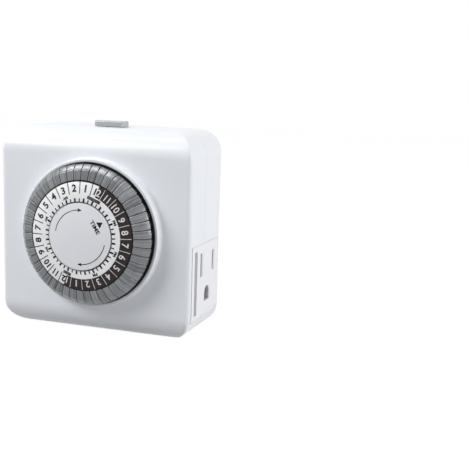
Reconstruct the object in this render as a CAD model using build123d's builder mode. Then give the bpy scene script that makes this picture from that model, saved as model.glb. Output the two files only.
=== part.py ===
"""A plug-in timer switch: a 24-hour dial of tripper pins in a white housing with an outlet on its side.

The origin is under the middle of the whole part, on the surface it stands on. +X is to the user's
right, where the outlet is, -Y is the front, where the dial is, and +Z is up. Depths are counted
backwards from the flat front of the housing, and heights from the surface it stands on.
"""

import os
from math import acos, cos, pi, radians, sin, sqrt, tan

from build123d import *

os.makedirs("parts", exist_ok=True)

# Gaps
clearance = 0.3  # between pieces that pass each other
sliding_gap = 0.2  # between pieces that slide side by side
running_gap = 0.06  # radial, between a shaft and its bore

# Housing
body_width = 78.4
body_height = 78.4
body_depth = 34.0
wall = 2.2
corner_radius = 10.4  # of the outline, seen from the front
brow_radius = 10.0  # where the front bends into the top and the bottom
side_edge_radius = 1.8  # where the front meets the sides
rear_edge_radius = 2.8
parting_depth = 15.5  # where the front half meets the rear half

# Housing screws
screw_inset = 8.4  # from the housing's sides, top and bottom
low_right_screw_room = 8.0  # from this screw to the outlet insert's body
screw_radius = 1.3
screw_length = 18.0
screw_head_radius = 2.5
screw_head_height = 1.8
screw_seat_depth = 24.0
boss_radius = 3.3

# Dial
dial_lift = 0.2  # of the dial's axis above the middle of the front
dial_margin = 12.9  # from the pins' outer edge to the housing's top, less the lift
ring_width = 7.95  # from the centre disc's edge to the pins
disc_thickness = 2.0
disc_proud = 10.5  # ahead of the housing's front
ring_thickness = 0.8
ring_proud = 9.0  # at its outer edge
ring_rise = 1.2  # of its inner edge ahead of its outer edge
hour_count = 24
pins_per_hour = 2
midnight_turn = 21.0  # degrees clockwise from straight up to the middle of the midnight hour
pin_inner_proud = 8.9
pin_shoulder_proud = 8.0
pin_edge_proud = 5.9
pin_length = 5.9  # of a pin's head, along the dial's radius
pin_shoulder_width = 2.0  # from the shoulder to the outer edge
pin_head_edge = 1.0  # height of a pin head's outer edge
pin_travel = 2.5
stem_inset = 0.9  # from the head's outer edge
stem_length = 3.0  # along the dial's radius
stem_width = 1.4
foot_ridge = 0.6
foot_ridge_height = 0.8
foot_length = 4.0  # of a stem behind the dial's web
web_thickness = 2.0
drum_wall = 1.5
hub_wall = 2.0
dial_gear_front = 5.0  # depth
dial_gear_thickness = 2.0
collar_gap = 0.4  # round the pins
collar_wall = 1.3
collar_round = 0.4
collar_proud = 3.4

# Gear train
dial_gear_teeth = 40
dial_module = 0.6
pinion_teeth = 10
wheel_teeth = 36
wheel_module = 0.5
motor_pinion_teeth = 10
pressure_angle = radians(25)
addendum = 0.75
dedendum = 1.0
backlash = 0.1
flank_steps = 4
tooth_root_sink = 0.1  # how far a tooth's flanks run into its gear's body
wheel_window_count = 5
wheel_thickness = 1.6
gear_shaft_radius = 1.0
shaft_cap = 0.8  # thickness of the head that keeps the pinion on
half_turn = 180.0
straight_up = 90.0  # degrees from +X
gear_shaft_turn = 200.0  # degrees from +X, from the dial's axis to the gear shaft
motor_turn = 270.0  # degrees from +X, from the gear shaft to the motor's shaft
clutch_thickness = 0.3
clutch_hub_radius = 2.8
clutch_finger_radius = 1.6
clutch_finger_reach = 2.4
clutch_fingers = 3

# Movement plate and its post
plate_depth = 10.5
plate_thickness = 1.5
plate_drop = 3.3  # from the lever's nose down to the plate's top edge
plate_side_room = 5.0  # from the plate's edge to the outlet insert's body
plate_pad_radius = 2.8
upper_left_turn = 154.0  # degrees from +X, from the dial's axis to a plate post
upper_right_turn = 47.1
plate_post_radius = 2.5
plate_post_room = 0.85  # from a post to the dial's opening
plate_screw_radius = 1.0
plate_screw_length = 6.0
plate_screw_head_radius = 1.9
plate_screw_head_height = 1.3
dial_post_radius = 2.5
dial_rivet_radius = 1.5
disc_spigot_length = 1.0

# Motor
motor_radius = 14.0
motor_length = 13.0
motor_wall = 0.8
motor_coil_radius = 12.6
motor_coil_bore = 7.0
motor_coil_length = 9.0
motor_shaft_radius = 1.0
motor_ear_offset = 16.2
motor_ear_radius = 2.2
motor_ear_thickness = 1.0
terminal_block_width = 9.0
terminal_block_depth = 6.0
terminal_block_height = 3.5

# Snap switch and its lever
switch_width = 20.0
switch_depth = 10.0
switch_height = 6.4
plunger_radius = 1.0
plunger_round = 0.7  # of its end
plunger_proud = 1.3
plunger_length = 3.2
terminal_width = 2.4
terminal_thickness = 0.6
terminal_pitch = 6.35
switch_post_radius = 1.4
switch_post_inset = 0.8  # of the posts' middles from the housing's ends
lever_pivot_room = 1.0  # from the pivot's axis to the lever's back
lever_pivot_radius = 0.8
lever_hub_radius = 2.0
lever_width = 2.4
lever_thickness = 1.8
lever_swing = 10.0  # degrees
lever_tab_length = 4.7  # from the pivot up to the tab's tip
lever_nose_height = 2.0
lever_ear_thickness = 1.2

# Lever spring
spring_radius = 1.1
spring_wire = 0.2
spring_turns = 4
spring_seat_radius = 1.9
spring_seat_depth = 4.4

# Override slider
knob_length = 11.8
knob_width = 6.0
knob_height = 2.1
knob_edge_radius = 0.6
slide_travel = 3.5
neck_length = 4.0
neck_width = 3.0
slider_plate_length = 16.0
slider_plate_thickness = 1.2
slider_plate_width = 10.0
wedge_height = 2.4
wedge_back = 14.5  # depth

# Outlet
outlet_front = 3.0  # depth of the insert's front edge, and its distance from the housing's back
outlet_bottom = 7.5
outlet_height = 28.8
slot_rise = 20.5  # from the insert's bottom edge to the blade slots' middle
blade_pitch = 12.7
ground_drop = 11.9
slot_width = 2.0
line_slot_length = 7.9
neutral_slot_length = 9.0
ground_hole_width = 5.6
ground_hole_height = 5.6
insert_reach = 18.2  # how deep the insert's body reaches in
flange_thickness = 1.2
flange_lap = 0.7
bezel_width = 2.5
moat_width = 2.4
moat_depth = 1.4
panel_line = 0.35
panel_line_depth = 0.3
contact_sheet = 0.4
contact_width = 6.0
contact_reach = 13.0
contact_gap = 1.7
ground_contact_gap = 4.9
pocket_gap = 0.3

# Plug
plug_rise = 6.6  # of the blades' middle above the dial's axis
blade_width = 6.35
blade_thickness = 1.5
blade_length = 17.0
blade_tip = 1.2
blade_tail_width = 7.5
blade_tail_length = 2.6
ground_pin_radius = 2.38
ground_pin_length = 20.6
ground_tip = 1.6
ground_flange_radius = 3.2
ground_flange_thickness = 1.5
ground_collar_radius = 2.9  # where the pin goes through the rear wall

# Brass strips and motor leads
strip_thickness = 0.5
strip_width = 2.6
switched_run_drop = 7.0  # from the switch down to the switched strip's level run
neutral_run_drop = 6.2  # from the blades down to the neutral strip's level run
lead_radius = 0.55
lead_span = 2.0  # from the terminal block's middle to each lead

# Worked out from the sizes above
front_y = disc_proud - (disc_proud + body_depth + ground_pin_length) / 2
inner_back = body_depth - wall
inner_top = body_height - wall
side_x = body_width / 2
dial_height = body_height / 2 + dial_lift
dial_axis = Axis((0, front_y, dial_height), (0, 1, 0))
pin_count = hour_count * pins_per_hour
pin_pitch = 2 * half_turn / pin_count
pin_outer_radius = body_height / 2 - dial_margin
pin_shoulder_radius = pin_outer_radius - pin_shoulder_width
stem_outer_radius = pin_outer_radius - stem_inset
stem_inner_radius = stem_outer_radius - stem_length
ring_radius = pin_outer_radius - pin_length
disc_radius = ring_radius - ring_width
pin_inner_radius = ring_radius + sliding_gap
pin_gap_angle = 2 * half_turn / pi * sliding_gap / (pin_inner_radius + pin_outer_radius)
pin_head_back = pin_head_edge - pin_edge_proud
web_front = pin_head_back + pin_travel + clearance
web_back = web_front + web_thickness
foot_back = web_back + foot_length
collar_radius = pin_outer_radius + collar_gap
ring_bore = disc_radius + clearance
hub_bore = dial_post_radius + running_gap
drum_front = ring_thickness - ring_proud
ring_inner_proud = ring_proud + ring_rise
hub_back = plate_depth - clearance
plate_back = plate_depth + plate_thickness
insert_back_x = side_x - insert_reach
train_distance = dial_module * (dial_gear_teeth + pinion_teeth) / 2
wheel_distance = wheel_module * (wheel_teeth + motor_pinion_teeth) / 2
shaft_x = train_distance * cos(radians(gear_shaft_turn))
shaft_z = dial_height + train_distance * sin(radians(gear_shaft_turn))
motor_x = shaft_x + wheel_distance * cos(radians(motor_turn))
motor_z = shaft_z + wheel_distance * sin(radians(motor_turn))


def front_view(depth):
    """The plane seen by the user at a depth: local x is +X and local y is +Z. Extrudes towards the user."""
    return Plane.XZ.offset(-(front_y + depth))


def side_view(x):
    """The plane seen from the outlet's side: local x is depth, local y is height. Extrudes to +X."""
    return Plane(origin=(x, front_y, 0), x_dir=(0, 1, 0), z_dir=(1, 0, 0))


def plan_view(height):
    """The plane seen from above: local x is +X and local y is depth. Extrudes upwards."""
    return Plane(origin=(0, front_y, height), x_dir=(1, 0, 0), z_dir=(0, 0, 1))


def line_through(x, height):
    """The front-to-back axis at a place on the front."""
    return Axis((x, front_y, height), (0, 1, 0))


def half_section(x, height, corners):
    """The face that is turned about line_through(x, height); corners lists (depth, radius) pairs."""
    with BuildSketch(Plane(origin=(x, front_y, height), x_dir=(0, 1, 0), z_dir=(1, 0, 0))) as section:
        with BuildLine():
            Polyline(*corners, close=True)
        make_face()
    return section.sketch


def finish(part, name):
    """Label a piece and write its STEP file."""
    part.label = name
    export_step(part, f"parts/{name}.step")


def housing_form(inset):
    """The housing's closed outer form, or the form of its hollow when it is inset by the wall."""
    width = body_width - 2 * inset
    height = body_height - 2 * inset
    depth = body_depth - 2 * inset
    with BuildPart() as form:
        with BuildSketch(front_view(inset)):
            with Locations((0, body_height / 2)):
                RectangleRounded(width, height, corner_radius - inset)
        extrude(amount=-depth)
        with BuildSketch(side_view(0)) as section:
            with Locations((body_depth / 2, body_height / 2)):
                Rectangle(depth, height)
            fillet(section.vertices().sort_by(Axis.X)[:2], brow_radius - inset)
            fillet(section.vertices().sort_by(Axis.X)[-2:], max(rear_edge_radius - inset, clearance))
        extrude(amount=body_width, both=True, mode=Mode.INTERSECT)
        with BuildSketch(plan_view(0)) as plan:
            with Locations((0, body_depth / 2)):
                Rectangle(width, depth)
            fillet(plan.vertices().sort_by(Axis.Y)[:2], max(side_edge_radius - inset, clearance))
            fillet(plan.vertices().sort_by(Axis.Y)[-2:], max(rear_edge_radius - inset, clearance))
        extrude(amount=body_height, mode=Mode.INTERSECT)
    return form.part


# Where the housing's and the plate's screws stand: (x, height)
screw_x = side_x - screw_inset
housing_screw_places = [
    (-screw_x, body_height - screw_inset),
    (screw_x, body_height - screw_inset),
    (-screw_x, screw_inset),
    (insert_back_x - low_right_screw_room, screw_inset),
]
plate_left = -side_x + wall + clearance
plate_right = insert_back_x - plate_side_room
plate_bottom = screw_inset + boss_radius + clearance
nose_bottom = dial_height + stem_inner_radius
plate_top = nose_bottom - plate_drop
post_circle = collar_radius + plate_post_radius + plate_post_room
low_right_x = insert_back_x - plate_pad_radius - clearance
arm_x = post_circle * cos(radians(upper_right_turn))
arm_z = dial_height + post_circle * sin(radians(upper_right_turn))
plate_screw_places = [
    (
        post_circle * cos(radians(upper_left_turn)),
        dial_height + post_circle * sin(radians(upper_left_turn)),
    ),
    (plate_left + plate_pad_radius, plate_bottom + plate_pad_radius),
    (low_right_x, dial_height - sqrt(post_circle**2 - low_right_x**2)),
    (arm_x, arm_z),
]
motor_ear_places = [(motor_x - motor_ear_offset, motor_z), (motor_x + motor_ear_offset, motor_z)]

# The override slider's plate lies under the top wall, with the lever's tab and spring under it and
# the switch behind the lever
slider_plate_top = inner_top - sliding_gap
slider_plate_bottom = slider_plate_top - slider_plate_thickness
lever_pivot_height = slider_plate_bottom - 2 * clearance - lever_tab_length
spring_height = slider_plate_bottom - clearance - spring_seat_radius
switch_top = lever_pivot_height - lever_hub_radius + sliding_gap
switch_middle = switch_top - switch_height / 2
switch_front = plate_back
switch_post_x = switch_width / 2 - switch_post_inset
switch_post_places = [(-switch_post_x, switch_middle), (switch_post_x, switch_middle)]

# The slot in the top wall that the override slider's neck runs in
neck_slot_length = neck_length + slide_travel + 2 * clearance
neck_slot_width = neck_width + 2 * clearance

# The outlet's window in the two halves
outlet_length = body_depth - 2 * outlet_front
outlet_middle_y = outlet_front + outlet_length / 2
outlet_middle_z = outlet_bottom + outlet_height / 2


def outlet_window():
    """The block that is cut from both halves for the outlet insert."""
    with BuildPart() as window:
        with BuildSketch(side_view(side_x - 2 * wall)):
            with Locations((outlet_middle_y, outlet_middle_z)):
                Rectangle(outlet_length + sliding_gap, outlet_height + sliding_gap)
        extrude(amount=3 * wall)
    return window.part


def neck_slot():
    """The block that is cut from both halves for the override slider's neck."""
    with BuildPart() as slot:
        with BuildSketch(plan_view(inner_top - wall)):
            with Locations((-slide_travel / 2, parting_depth)):
                Rectangle(neck_slot_length, neck_slot_width)
        extrude(amount=3 * wall)
    return slot.part


# Front half of the housing: what is hollow in it leaves its bosses, posts and spring seat standing
with BuildPart() as front_hollow:
    add(housing_form(wall))
    with BuildSketch(front_view(0)):
        with Locations(*housing_screw_places):
            Circle(boss_radius)
    extrude(amount=-body_depth, mode=Mode.SUBTRACT)
    with BuildSketch(front_view(0)):
        with Locations(*plate_screw_places):
            Circle(plate_post_radius)
    extrude(amount=-plate_depth, mode=Mode.SUBTRACT)
    with BuildSketch(front_view(0)):
        with Locations((0, spring_height)):
            Circle(spring_seat_radius)
    extrude(amount=-spring_seat_depth, mode=Mode.SUBTRACT)

with BuildPart() as front_cover:
    add(housing_form(0))
    add(front_hollow.part, mode=Mode.SUBTRACT)
    split(bisect_by=front_view(parting_depth), keep=Keep.TOP)
    with BuildSketch(front_view(-collar_proud)):
        with Locations((0, dial_height)):
            Circle(collar_radius + collar_wall)
    extrude(amount=-(collar_proud + wall / 2))
    with BuildSketch(front_view(-collar_proud)):
        with Locations((0, dial_height)):
            Circle(collar_radius)
    extrude(amount=-(collar_proud + 2 * wall), mode=Mode.SUBTRACT)
    lip = front_cover.faces().sort_by(Axis.Y)[0]
    fillet(lip.edges(), collar_round)
    with BuildSketch(front_view(screw_seat_depth - screw_length)):
        with Locations(*housing_screw_places):
            Circle(screw_radius)
    extrude(amount=-body_depth, mode=Mode.SUBTRACT)
    with BuildSketch(front_view(plate_back - plate_screw_length)):
        with Locations(*plate_screw_places):
            Circle(plate_screw_radius)
    extrude(amount=-body_depth, mode=Mode.SUBTRACT)
    add(outlet_window(), mode=Mode.SUBTRACT)
    add(neck_slot(), mode=Mode.SUBTRACT)
finish(front_cover.part, "front_cover")

# Rear half of the housing, with counterbored bosses for the screws and posts behind the snap switch
with BuildPart() as rear_hollow:
    add(housing_form(wall))
    with BuildSketch(front_view(0)):
        with Locations(*housing_screw_places):
            Circle(boss_radius)
    extrude(amount=-body_depth, mode=Mode.SUBTRACT)
    with BuildSketch(front_view(switch_front + switch_depth)):
        with Locations(*switch_post_places):
            Circle(switch_post_radius)
    extrude(amount=-body_depth, mode=Mode.SUBTRACT)

plug_height = dial_height + plug_rise
blade_places = [(-blade_pitch / 2, plug_height), (blade_pitch / 2, plug_height)]
ground_place = (0, plug_height - ground_drop)

with BuildPart() as rear_cover:
    add(housing_form(0))
    add(rear_hollow.part, mode=Mode.SUBTRACT)
    split(bisect_by=front_view(parting_depth), keep=Keep.BOTTOM)
    with BuildSketch(front_view(parting_depth)):
        with Locations(*housing_screw_places):
            Circle(screw_radius + running_gap)
    extrude(amount=-body_depth, mode=Mode.SUBTRACT)
    with BuildSketch(front_view(screw_seat_depth)):
        with Locations(*housing_screw_places):
            Circle(screw_head_radius + sliding_gap)
    extrude(amount=-body_depth, mode=Mode.SUBTRACT)
    with BuildSketch(front_view(inner_back)):
        with Locations(*blade_places):
            Rectangle(blade_thickness, blade_width)
        with Locations(ground_place):
            Circle(ground_collar_radius)
    extrude(amount=-2 * wall, mode=Mode.SUBTRACT)
    add(outlet_window(), mode=Mode.SUBTRACT)
    add(neck_slot(), mode=Mode.SUBTRACT)
finish(rear_cover.part, "rear_cover")

# Housing screws
with BuildPart() as housing_screws:
    with BuildSketch(front_view(screw_seat_depth)):
        with Locations(*housing_screw_places):
            Circle(screw_radius)
    extrude(amount=screw_length)
    with BuildSketch(front_view(screw_seat_depth)):
        with Locations(*housing_screw_places):
            Circle(screw_head_radius)
    extrude(amount=-screw_head_height)
    with BuildSketch(front_view(screw_seat_depth + screw_head_height)):
        with Locations(*housing_screw_places):
            Rectangle(screw_head_radius, screw_radius / 2)
            Rectangle(screw_radius / 2, screw_head_radius)
    extrude(amount=screw_head_height / 2, mode=Mode.SUBTRACT)
finish(housing_screws.part, "housing_screws")

# Number ring: the printed 24-hour scale, a washer on the front of the drum that rises to its bore
with BuildPart() as number_ring:
    ring_section = half_section(
        0,
        dial_height,
        [
            (-ring_inner_proud, ring_bore),
            (-ring_proud, ring_radius),
            (drum_front, ring_radius),
            (drum_front - ring_rise, ring_bore),
        ],
    )
    revolve(ring_section, axis=dial_axis)
finish(number_ring.part, "number_ring")

# Centre disc: stands still on the end of the dial post, with the time pointer printed on it
with BuildPart() as centre_disc:
    with BuildSketch(front_view(-disc_proud)):
        with Locations((0, dial_height)):
            Circle(disc_radius)
    extrude(amount=-disc_thickness)
    fillet(centre_disc.faces().sort_by(Axis.Y)[0].edges(), sliding_gap)
    with BuildSketch(front_view(disc_thickness - disc_proud)):
        with Locations((0, dial_height)):
            Circle(dial_rivet_radius)
    extrude(amount=disc_spigot_length, mode=Mode.SUBTRACT)
finish(centre_disc.part, "centre_disc")

# Dial post: riveted to the movement plate, carries the dial drum and the centre disc
disc_back = disc_thickness - disc_proud
with BuildPart() as dial_post:
    post_section = half_section(
        0,
        dial_height,
        [
            (disc_back - disc_spigot_length, 0),
            (disc_back - disc_spigot_length, dial_rivet_radius),
            (disc_back, dial_rivet_radius),
            (disc_back, dial_post_radius),
            (plate_depth, dial_post_radius),
            (plate_depth, dial_rivet_radius),
            (plate_back, dial_rivet_radius),
            (plate_back, 0),
        ],
    )
    revolve(post_section, axis=dial_axis)
finish(dial_post.part, "dial_post")


def involute(angle):
    """How far an involute has turned away from its base circle at a pressure angle."""
    return tan(angle) - angle


def gear_outline(depth, x, height, teeth, module, first_tooth):
    """A spur gear's outline on the plane at a depth; first_tooth is a tooth's direction from +X."""
    pitch_radius = module * teeth / 2
    base_radius = pitch_radius * cos(pressure_angle)
    root_radius = pitch_radius - dedendum * module
    tip_radius = pitch_radius + addendum * module
    half_tooth = (pi / 2 - backlash / (2 * module)) / teeth + involute(pressure_angle)
    flank_start = max(base_radius, root_radius)
    flank = [(root_radius - tooth_root_sink, half_tooth)]
    for step in range(flank_steps + 1):
        radius = flank_start + (tip_radius - flank_start) * step / flank_steps
        flank.append((radius, half_tooth - involute(acos(base_radius / radius))))
    left = [(radius * cos(angle), radius * sin(angle)) for radius, angle in flank]
    right = [(radius * cos(angle), -radius * sin(angle)) for radius, angle in reversed(flank)]
    with BuildSketch(front_view(depth)) as outline:
        with Locations((x, height)):
            Circle(root_radius)
            with PolarLocations(0, teeth, start_angle=first_tooth):
                Polygon(*left, *right, align=None)
    return outline.sketch


def meshing_turn(turn, teeth):
    """Where a gear's first tooth points so that a gap faces back along the line of centres."""
    return turn + half_turn + half_turn / teeth


# Dial drum: carries the number ring and the pins, and turns on the dial post
with BuildPart() as dial_drum:
    drum_section = half_section(
        0,
        dial_height,
        [
            (drum_front, hub_bore),
            (drum_front, ring_bore),
            (drum_front - ring_rise, ring_bore),
            (drum_front, ring_radius),
            (web_front, ring_radius),
            (web_front, pin_outer_radius),
            (web_back, pin_outer_radius),
            (web_back, ring_radius - drum_wall),
            (drum_front + drum_wall, ring_radius - drum_wall),
            (drum_front + drum_wall, hub_bore + hub_wall),
            (hub_back, hub_bore + hub_wall),
            (hub_back, hub_bore),
        ],
    )
    revolve(drum_section, axis=dial_axis)
    extrude(
        gear_outline(dial_gear_front, 0, dial_height, dial_gear_teeth, dial_module, gear_shaft_turn),
        amount=-dial_gear_thickness,
    )
    with BuildSketch(front_view(-disc_proud)):
        with Locations((0, dial_height)):
            Circle(hub_bore)
    extrude(amount=-(disc_proud + plate_depth), mode=Mode.SUBTRACT)
    with BuildSketch(front_view(web_front - clearance)):
        with Locations((0, dial_height)):
            first_pin = straight_up - midnight_turn + pin_pitch / 2
            with PolarLocations(stem_inner_radius + stem_length / 2, pin_count, start_angle=first_pin):
                Rectangle(stem_length + sliding_gap, stem_width + sliding_gap)
    extrude(amount=-(web_thickness + 2 * clearance), mode=Mode.SUBTRACT)
finish(dial_drum.part, "dial_drum")

# One tripper pin, straight above the dial's axis: a wedge of a head on a flat stem with a catch ridge
with BuildPart() as tripper_pin:
    head_section = half_section(
        0,
        dial_height,
        [
            (-pin_inner_proud, pin_inner_radius),
            (-pin_shoulder_proud, pin_shoulder_radius),
            (-pin_edge_proud, pin_outer_radius),
            (pin_head_back, pin_outer_radius),
            (pin_head_back, pin_inner_radius),
        ],
    ).rotate(dial_axis, -(pin_pitch - pin_gap_angle) / 2)
    revolve(head_section, axis=dial_axis, revolution_arc=pin_pitch - pin_gap_angle)
    with BuildSketch(front_view(pin_head_back)):
        with Locations((0, dial_height + stem_inner_radius + stem_length / 2)):
            Rectangle(stem_width, stem_length)
    extrude(amount=-(foot_back - pin_head_back))
    with BuildSketch(side_view(-stem_width / 2)):
        with BuildLine():
            ridge_front = web_back + clearance
            stem_top = dial_height + stem_outer_radius
            Polyline(
                (ridge_front, stem_top - foot_ridge),
                (ridge_front, stem_top + foot_ridge),
                (ridge_front + foot_ridge_height, stem_top),
                (ridge_front + foot_ridge_height, stem_top - foot_ridge),
                close=True,
            )
        make_face()
    extrude(amount=stem_width)

# The pins, two to an hour; the hours run the other way round from a clock's, so that the dial can turn
for hour in range(hour_count):
    with BuildPart() as hour_pins:
        for half_hour in range(pins_per_hour):
            offset = (half_hour - (pins_per_hour - 1) / 2) * pin_pitch
            turn = midnight_turn - pins_per_hour * pin_pitch * hour - offset
            add(tripper_pin.part.rotate(dial_axis, turn))
    finish(hour_pins.part, f"hour_pins_{hour + 1:02d}")

# Intermediate gears: the pinion drives the dial, the wheel is driven by the motor, and a spring
# clutch between them slips when the dial is turned by hand
pinion_front = dial_gear_front - clearance
wheel_back = plate_depth - clearance - clutch_thickness
wheel_front = wheel_back - wheel_thickness
pinion_bore = gear_shaft_radius + running_gap

with BuildPart() as intermediate_pinion:
    pinion_outline = gear_outline(
        pinion_front,
        shaft_x,
        shaft_z,
        pinion_teeth,
        dial_module,
        meshing_turn(gear_shaft_turn, pinion_teeth),
    )
    extrude(pinion_outline, amount=-(wheel_front - pinion_front))
    with BuildSketch(front_view(wheel_front)):
        with Locations((shaft_x, shaft_z)):
            Circle(2 * gear_shaft_radius)
    extrude(amount=-wheel_thickness)
    with BuildSketch(front_view(pinion_front)):
        with Locations((shaft_x, shaft_z)):
            Circle(pinion_bore)
    extrude(amount=-plate_depth, mode=Mode.SUBTRACT)
finish(intermediate_pinion.part, "intermediate_pinion")

with BuildPart() as intermediate_wheel:
    extrude(
        gear_outline(wheel_front, shaft_x, shaft_z, wheel_teeth, wheel_module, motor_turn),
        amount=-wheel_thickness,
    )
    with BuildSketch(front_view(wheel_front)):
        with Locations((shaft_x, shaft_z)):
            Circle(2 * gear_shaft_radius)
            with PolarLocations(wheel_module * wheel_teeth / 3, wheel_window_count):
                Circle(wheel_thickness)
    extrude(amount=-wheel_thickness, mode=Mode.SUBTRACT)
finish(intermediate_wheel.part, "intermediate_wheel")

with BuildPart() as clutch_spring:
    with BuildSketch(front_view(wheel_back)):
        with Locations((shaft_x, shaft_z)):
            Circle(clutch_hub_radius)
            with PolarLocations(clutch_finger_reach, clutch_fingers):
                Circle(clutch_finger_radius)
            Circle(pinion_bore, mode=Mode.SUBTRACT)
    extrude(amount=-clutch_thickness)
finish(clutch_spring.part, "clutch_spring")

with BuildPart() as gear_shaft:
    shaft_section = half_section(
        shaft_x,
        shaft_z,
        [
            (pinion_front - clearance - shaft_cap, 0),
            (pinion_front - clearance - shaft_cap, 2 * gear_shaft_radius),
            (pinion_front - clearance, 2 * gear_shaft_radius),
            (pinion_front - clearance, gear_shaft_radius),
            (plate_back, gear_shaft_radius),
            (plate_back, 0),
        ],
    )
    revolve(shaft_section, axis=line_through(shaft_x, shaft_z))
finish(gear_shaft.part, "gear_shaft")

# Movement plate: a steel sheet on the front cover's posts that carries the post, the shaft and the motor
motor_pinion_clearance_radius = wheel_module * (motor_pinion_teeth / 2 + addendum) + clearance
arm_left = plate_right - 2 * plate_pad_radius
with BuildPart() as movement_plate:
    with BuildSketch(front_view(plate_depth)):
        with Locations(((plate_left + plate_right) / 2, (plate_bottom + plate_top) / 2)):
            Rectangle(plate_right - plate_left, plate_top - plate_bottom)
        with Locations(*plate_screw_places):
            Circle(plate_pad_radius)
        with Locations(((arm_left + arm_x) / 2, arm_z)):
            Rectangle(arm_x - arm_left, 2 * plate_pad_radius)
        with Locations((plate_right - plate_pad_radius, (plate_top + arm_z) / 2)):
            Rectangle(2 * plate_pad_radius, arm_z - plate_top + 2 * plate_pad_radius)
        with Locations(*plate_screw_places, *motor_ear_places):
            Circle(plate_screw_radius, mode=Mode.SUBTRACT)
        with Locations((0, dial_height)):
            Circle(dial_rivet_radius, mode=Mode.SUBTRACT)
        with Locations((shaft_x, shaft_z)):
            Circle(gear_shaft_radius, mode=Mode.SUBTRACT)
        with Locations((motor_x, motor_z)):
            Circle(motor_pinion_clearance_radius, mode=Mode.SUBTRACT)
    extrude(amount=-plate_thickness)
finish(movement_plate.part, "movement_plate")

# Plate screws: they hold the movement plate to its posts
with BuildPart() as plate_screws:
    with BuildSketch(front_view(plate_back)):
        with Locations(*plate_screw_places):
            Circle(plate_screw_radius)
    extrude(amount=plate_screw_length)
    with BuildSketch(front_view(plate_back)):
        with Locations(*plate_screw_places):
            Circle(plate_screw_head_radius)
    extrude(amount=-plate_screw_head_height)
    with BuildSketch(front_view(plate_back + plate_screw_head_height)):
        with Locations(*plate_screw_places):
            Rectangle(2 * plate_screw_head_radius, plate_screw_radius / 2)
    extrude(amount=plate_screw_head_height / 2, mode=Mode.SUBTRACT)
finish(plate_screws.part, "plate_screws")

# Motor case: a steel cup behind the plate, closed by a front that has two ears
motor_back = plate_back + motor_length
block_depth = (plate_back + motor_back) / 2
block_top = motor_z + motor_radius + terminal_block_height
with BuildPart() as motor_case:
    with BuildSketch(front_view(plate_back)):
        with Locations((motor_x, motor_z)):
            Circle(motor_radius)
    extrude(amount=-motor_length)
    fillet(motor_case.faces().sort_by(Axis.Y)[-1].edges(), motor_wall)
    with BuildSketch(front_view(plate_back)):
        with Locations(*motor_ear_places):
            Circle(motor_ear_radius)
        with Locations((motor_x, motor_z)):
            Rectangle(2 * motor_ear_offset, 2 * motor_ear_radius)
    extrude(amount=-motor_ear_thickness)
    with BuildSketch(plan_view(motor_z)):
        with Locations((motor_x, block_depth)):
            Rectangle(terminal_block_width, terminal_block_depth)
    extrude(amount=motor_radius + terminal_block_height)
    with BuildSketch(front_view(plate_back + motor_wall)):
        with Locations((motor_x, motor_z)):
            Circle(motor_radius - motor_wall)
    extrude(amount=-(motor_length - 2 * motor_wall), mode=Mode.SUBTRACT)
    with BuildSketch(front_view(plate_back)):
        with Locations(*motor_ear_places):
            Circle(plate_screw_radius)
        with Locations((motor_x, motor_z)):
            Circle(motor_shaft_radius + running_gap)
    extrude(amount=-motor_ear_thickness, mode=Mode.SUBTRACT)
finish(motor_case.part, "motor_case")

# Motor coil: the winding on its bobbin, seated on the case's back
with BuildPart() as motor_coil:
    with BuildSketch(front_view(motor_back - motor_wall)):
        with Locations((motor_x, motor_z)):
            Circle(motor_coil_radius)
            Circle(motor_coil_bore, mode=Mode.SUBTRACT)
    extrude(amount=motor_coil_length)
finish(motor_coil.part, "motor_coil")

# Motor screws
with BuildPart() as motor_screws:
    with BuildSketch(front_view(plate_back + motor_ear_thickness)):
        with Locations(*motor_ear_places):
            Circle(plate_screw_radius)
    extrude(amount=plate_thickness + motor_ear_thickness)
    with BuildSketch(front_view(plate_back + motor_ear_thickness)):
        with Locations(*motor_ear_places):
            Circle(plate_screw_head_radius)
    extrude(amount=-plate_screw_head_height)
finish(motor_screws.part, "motor_screws")

# Motor pinion: on the shaft that comes out of the motor, with the rotor on its other end
motor_pinion_back = plate_depth - clearance
rotor_radius = motor_coil_bore - 4 * clearance
rotor_front = plate_back + motor_wall + clearance
rotor_back = motor_back - motor_wall - clearance
with BuildPart() as motor_pinion:
    motor_pinion_outline = gear_outline(
        wheel_front - clearance,
        motor_x,
        motor_z,
        motor_pinion_teeth,
        wheel_module,
        meshing_turn(motor_turn, motor_pinion_teeth),
    )
    extrude(motor_pinion_outline, amount=-(motor_pinion_back - wheel_front + clearance))
    with BuildSketch(front_view(motor_pinion_back)):
        with Locations((motor_x, motor_z)):
            Circle(motor_shaft_radius)
    extrude(amount=-(rotor_front - motor_pinion_back))
    with BuildSketch(front_view(rotor_front)):
        with Locations((motor_x, motor_z)):
            Circle(rotor_radius)
    extrude(amount=-(rotor_back - rotor_front))
finish(motor_pinion.part, "motor_pinion")

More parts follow.
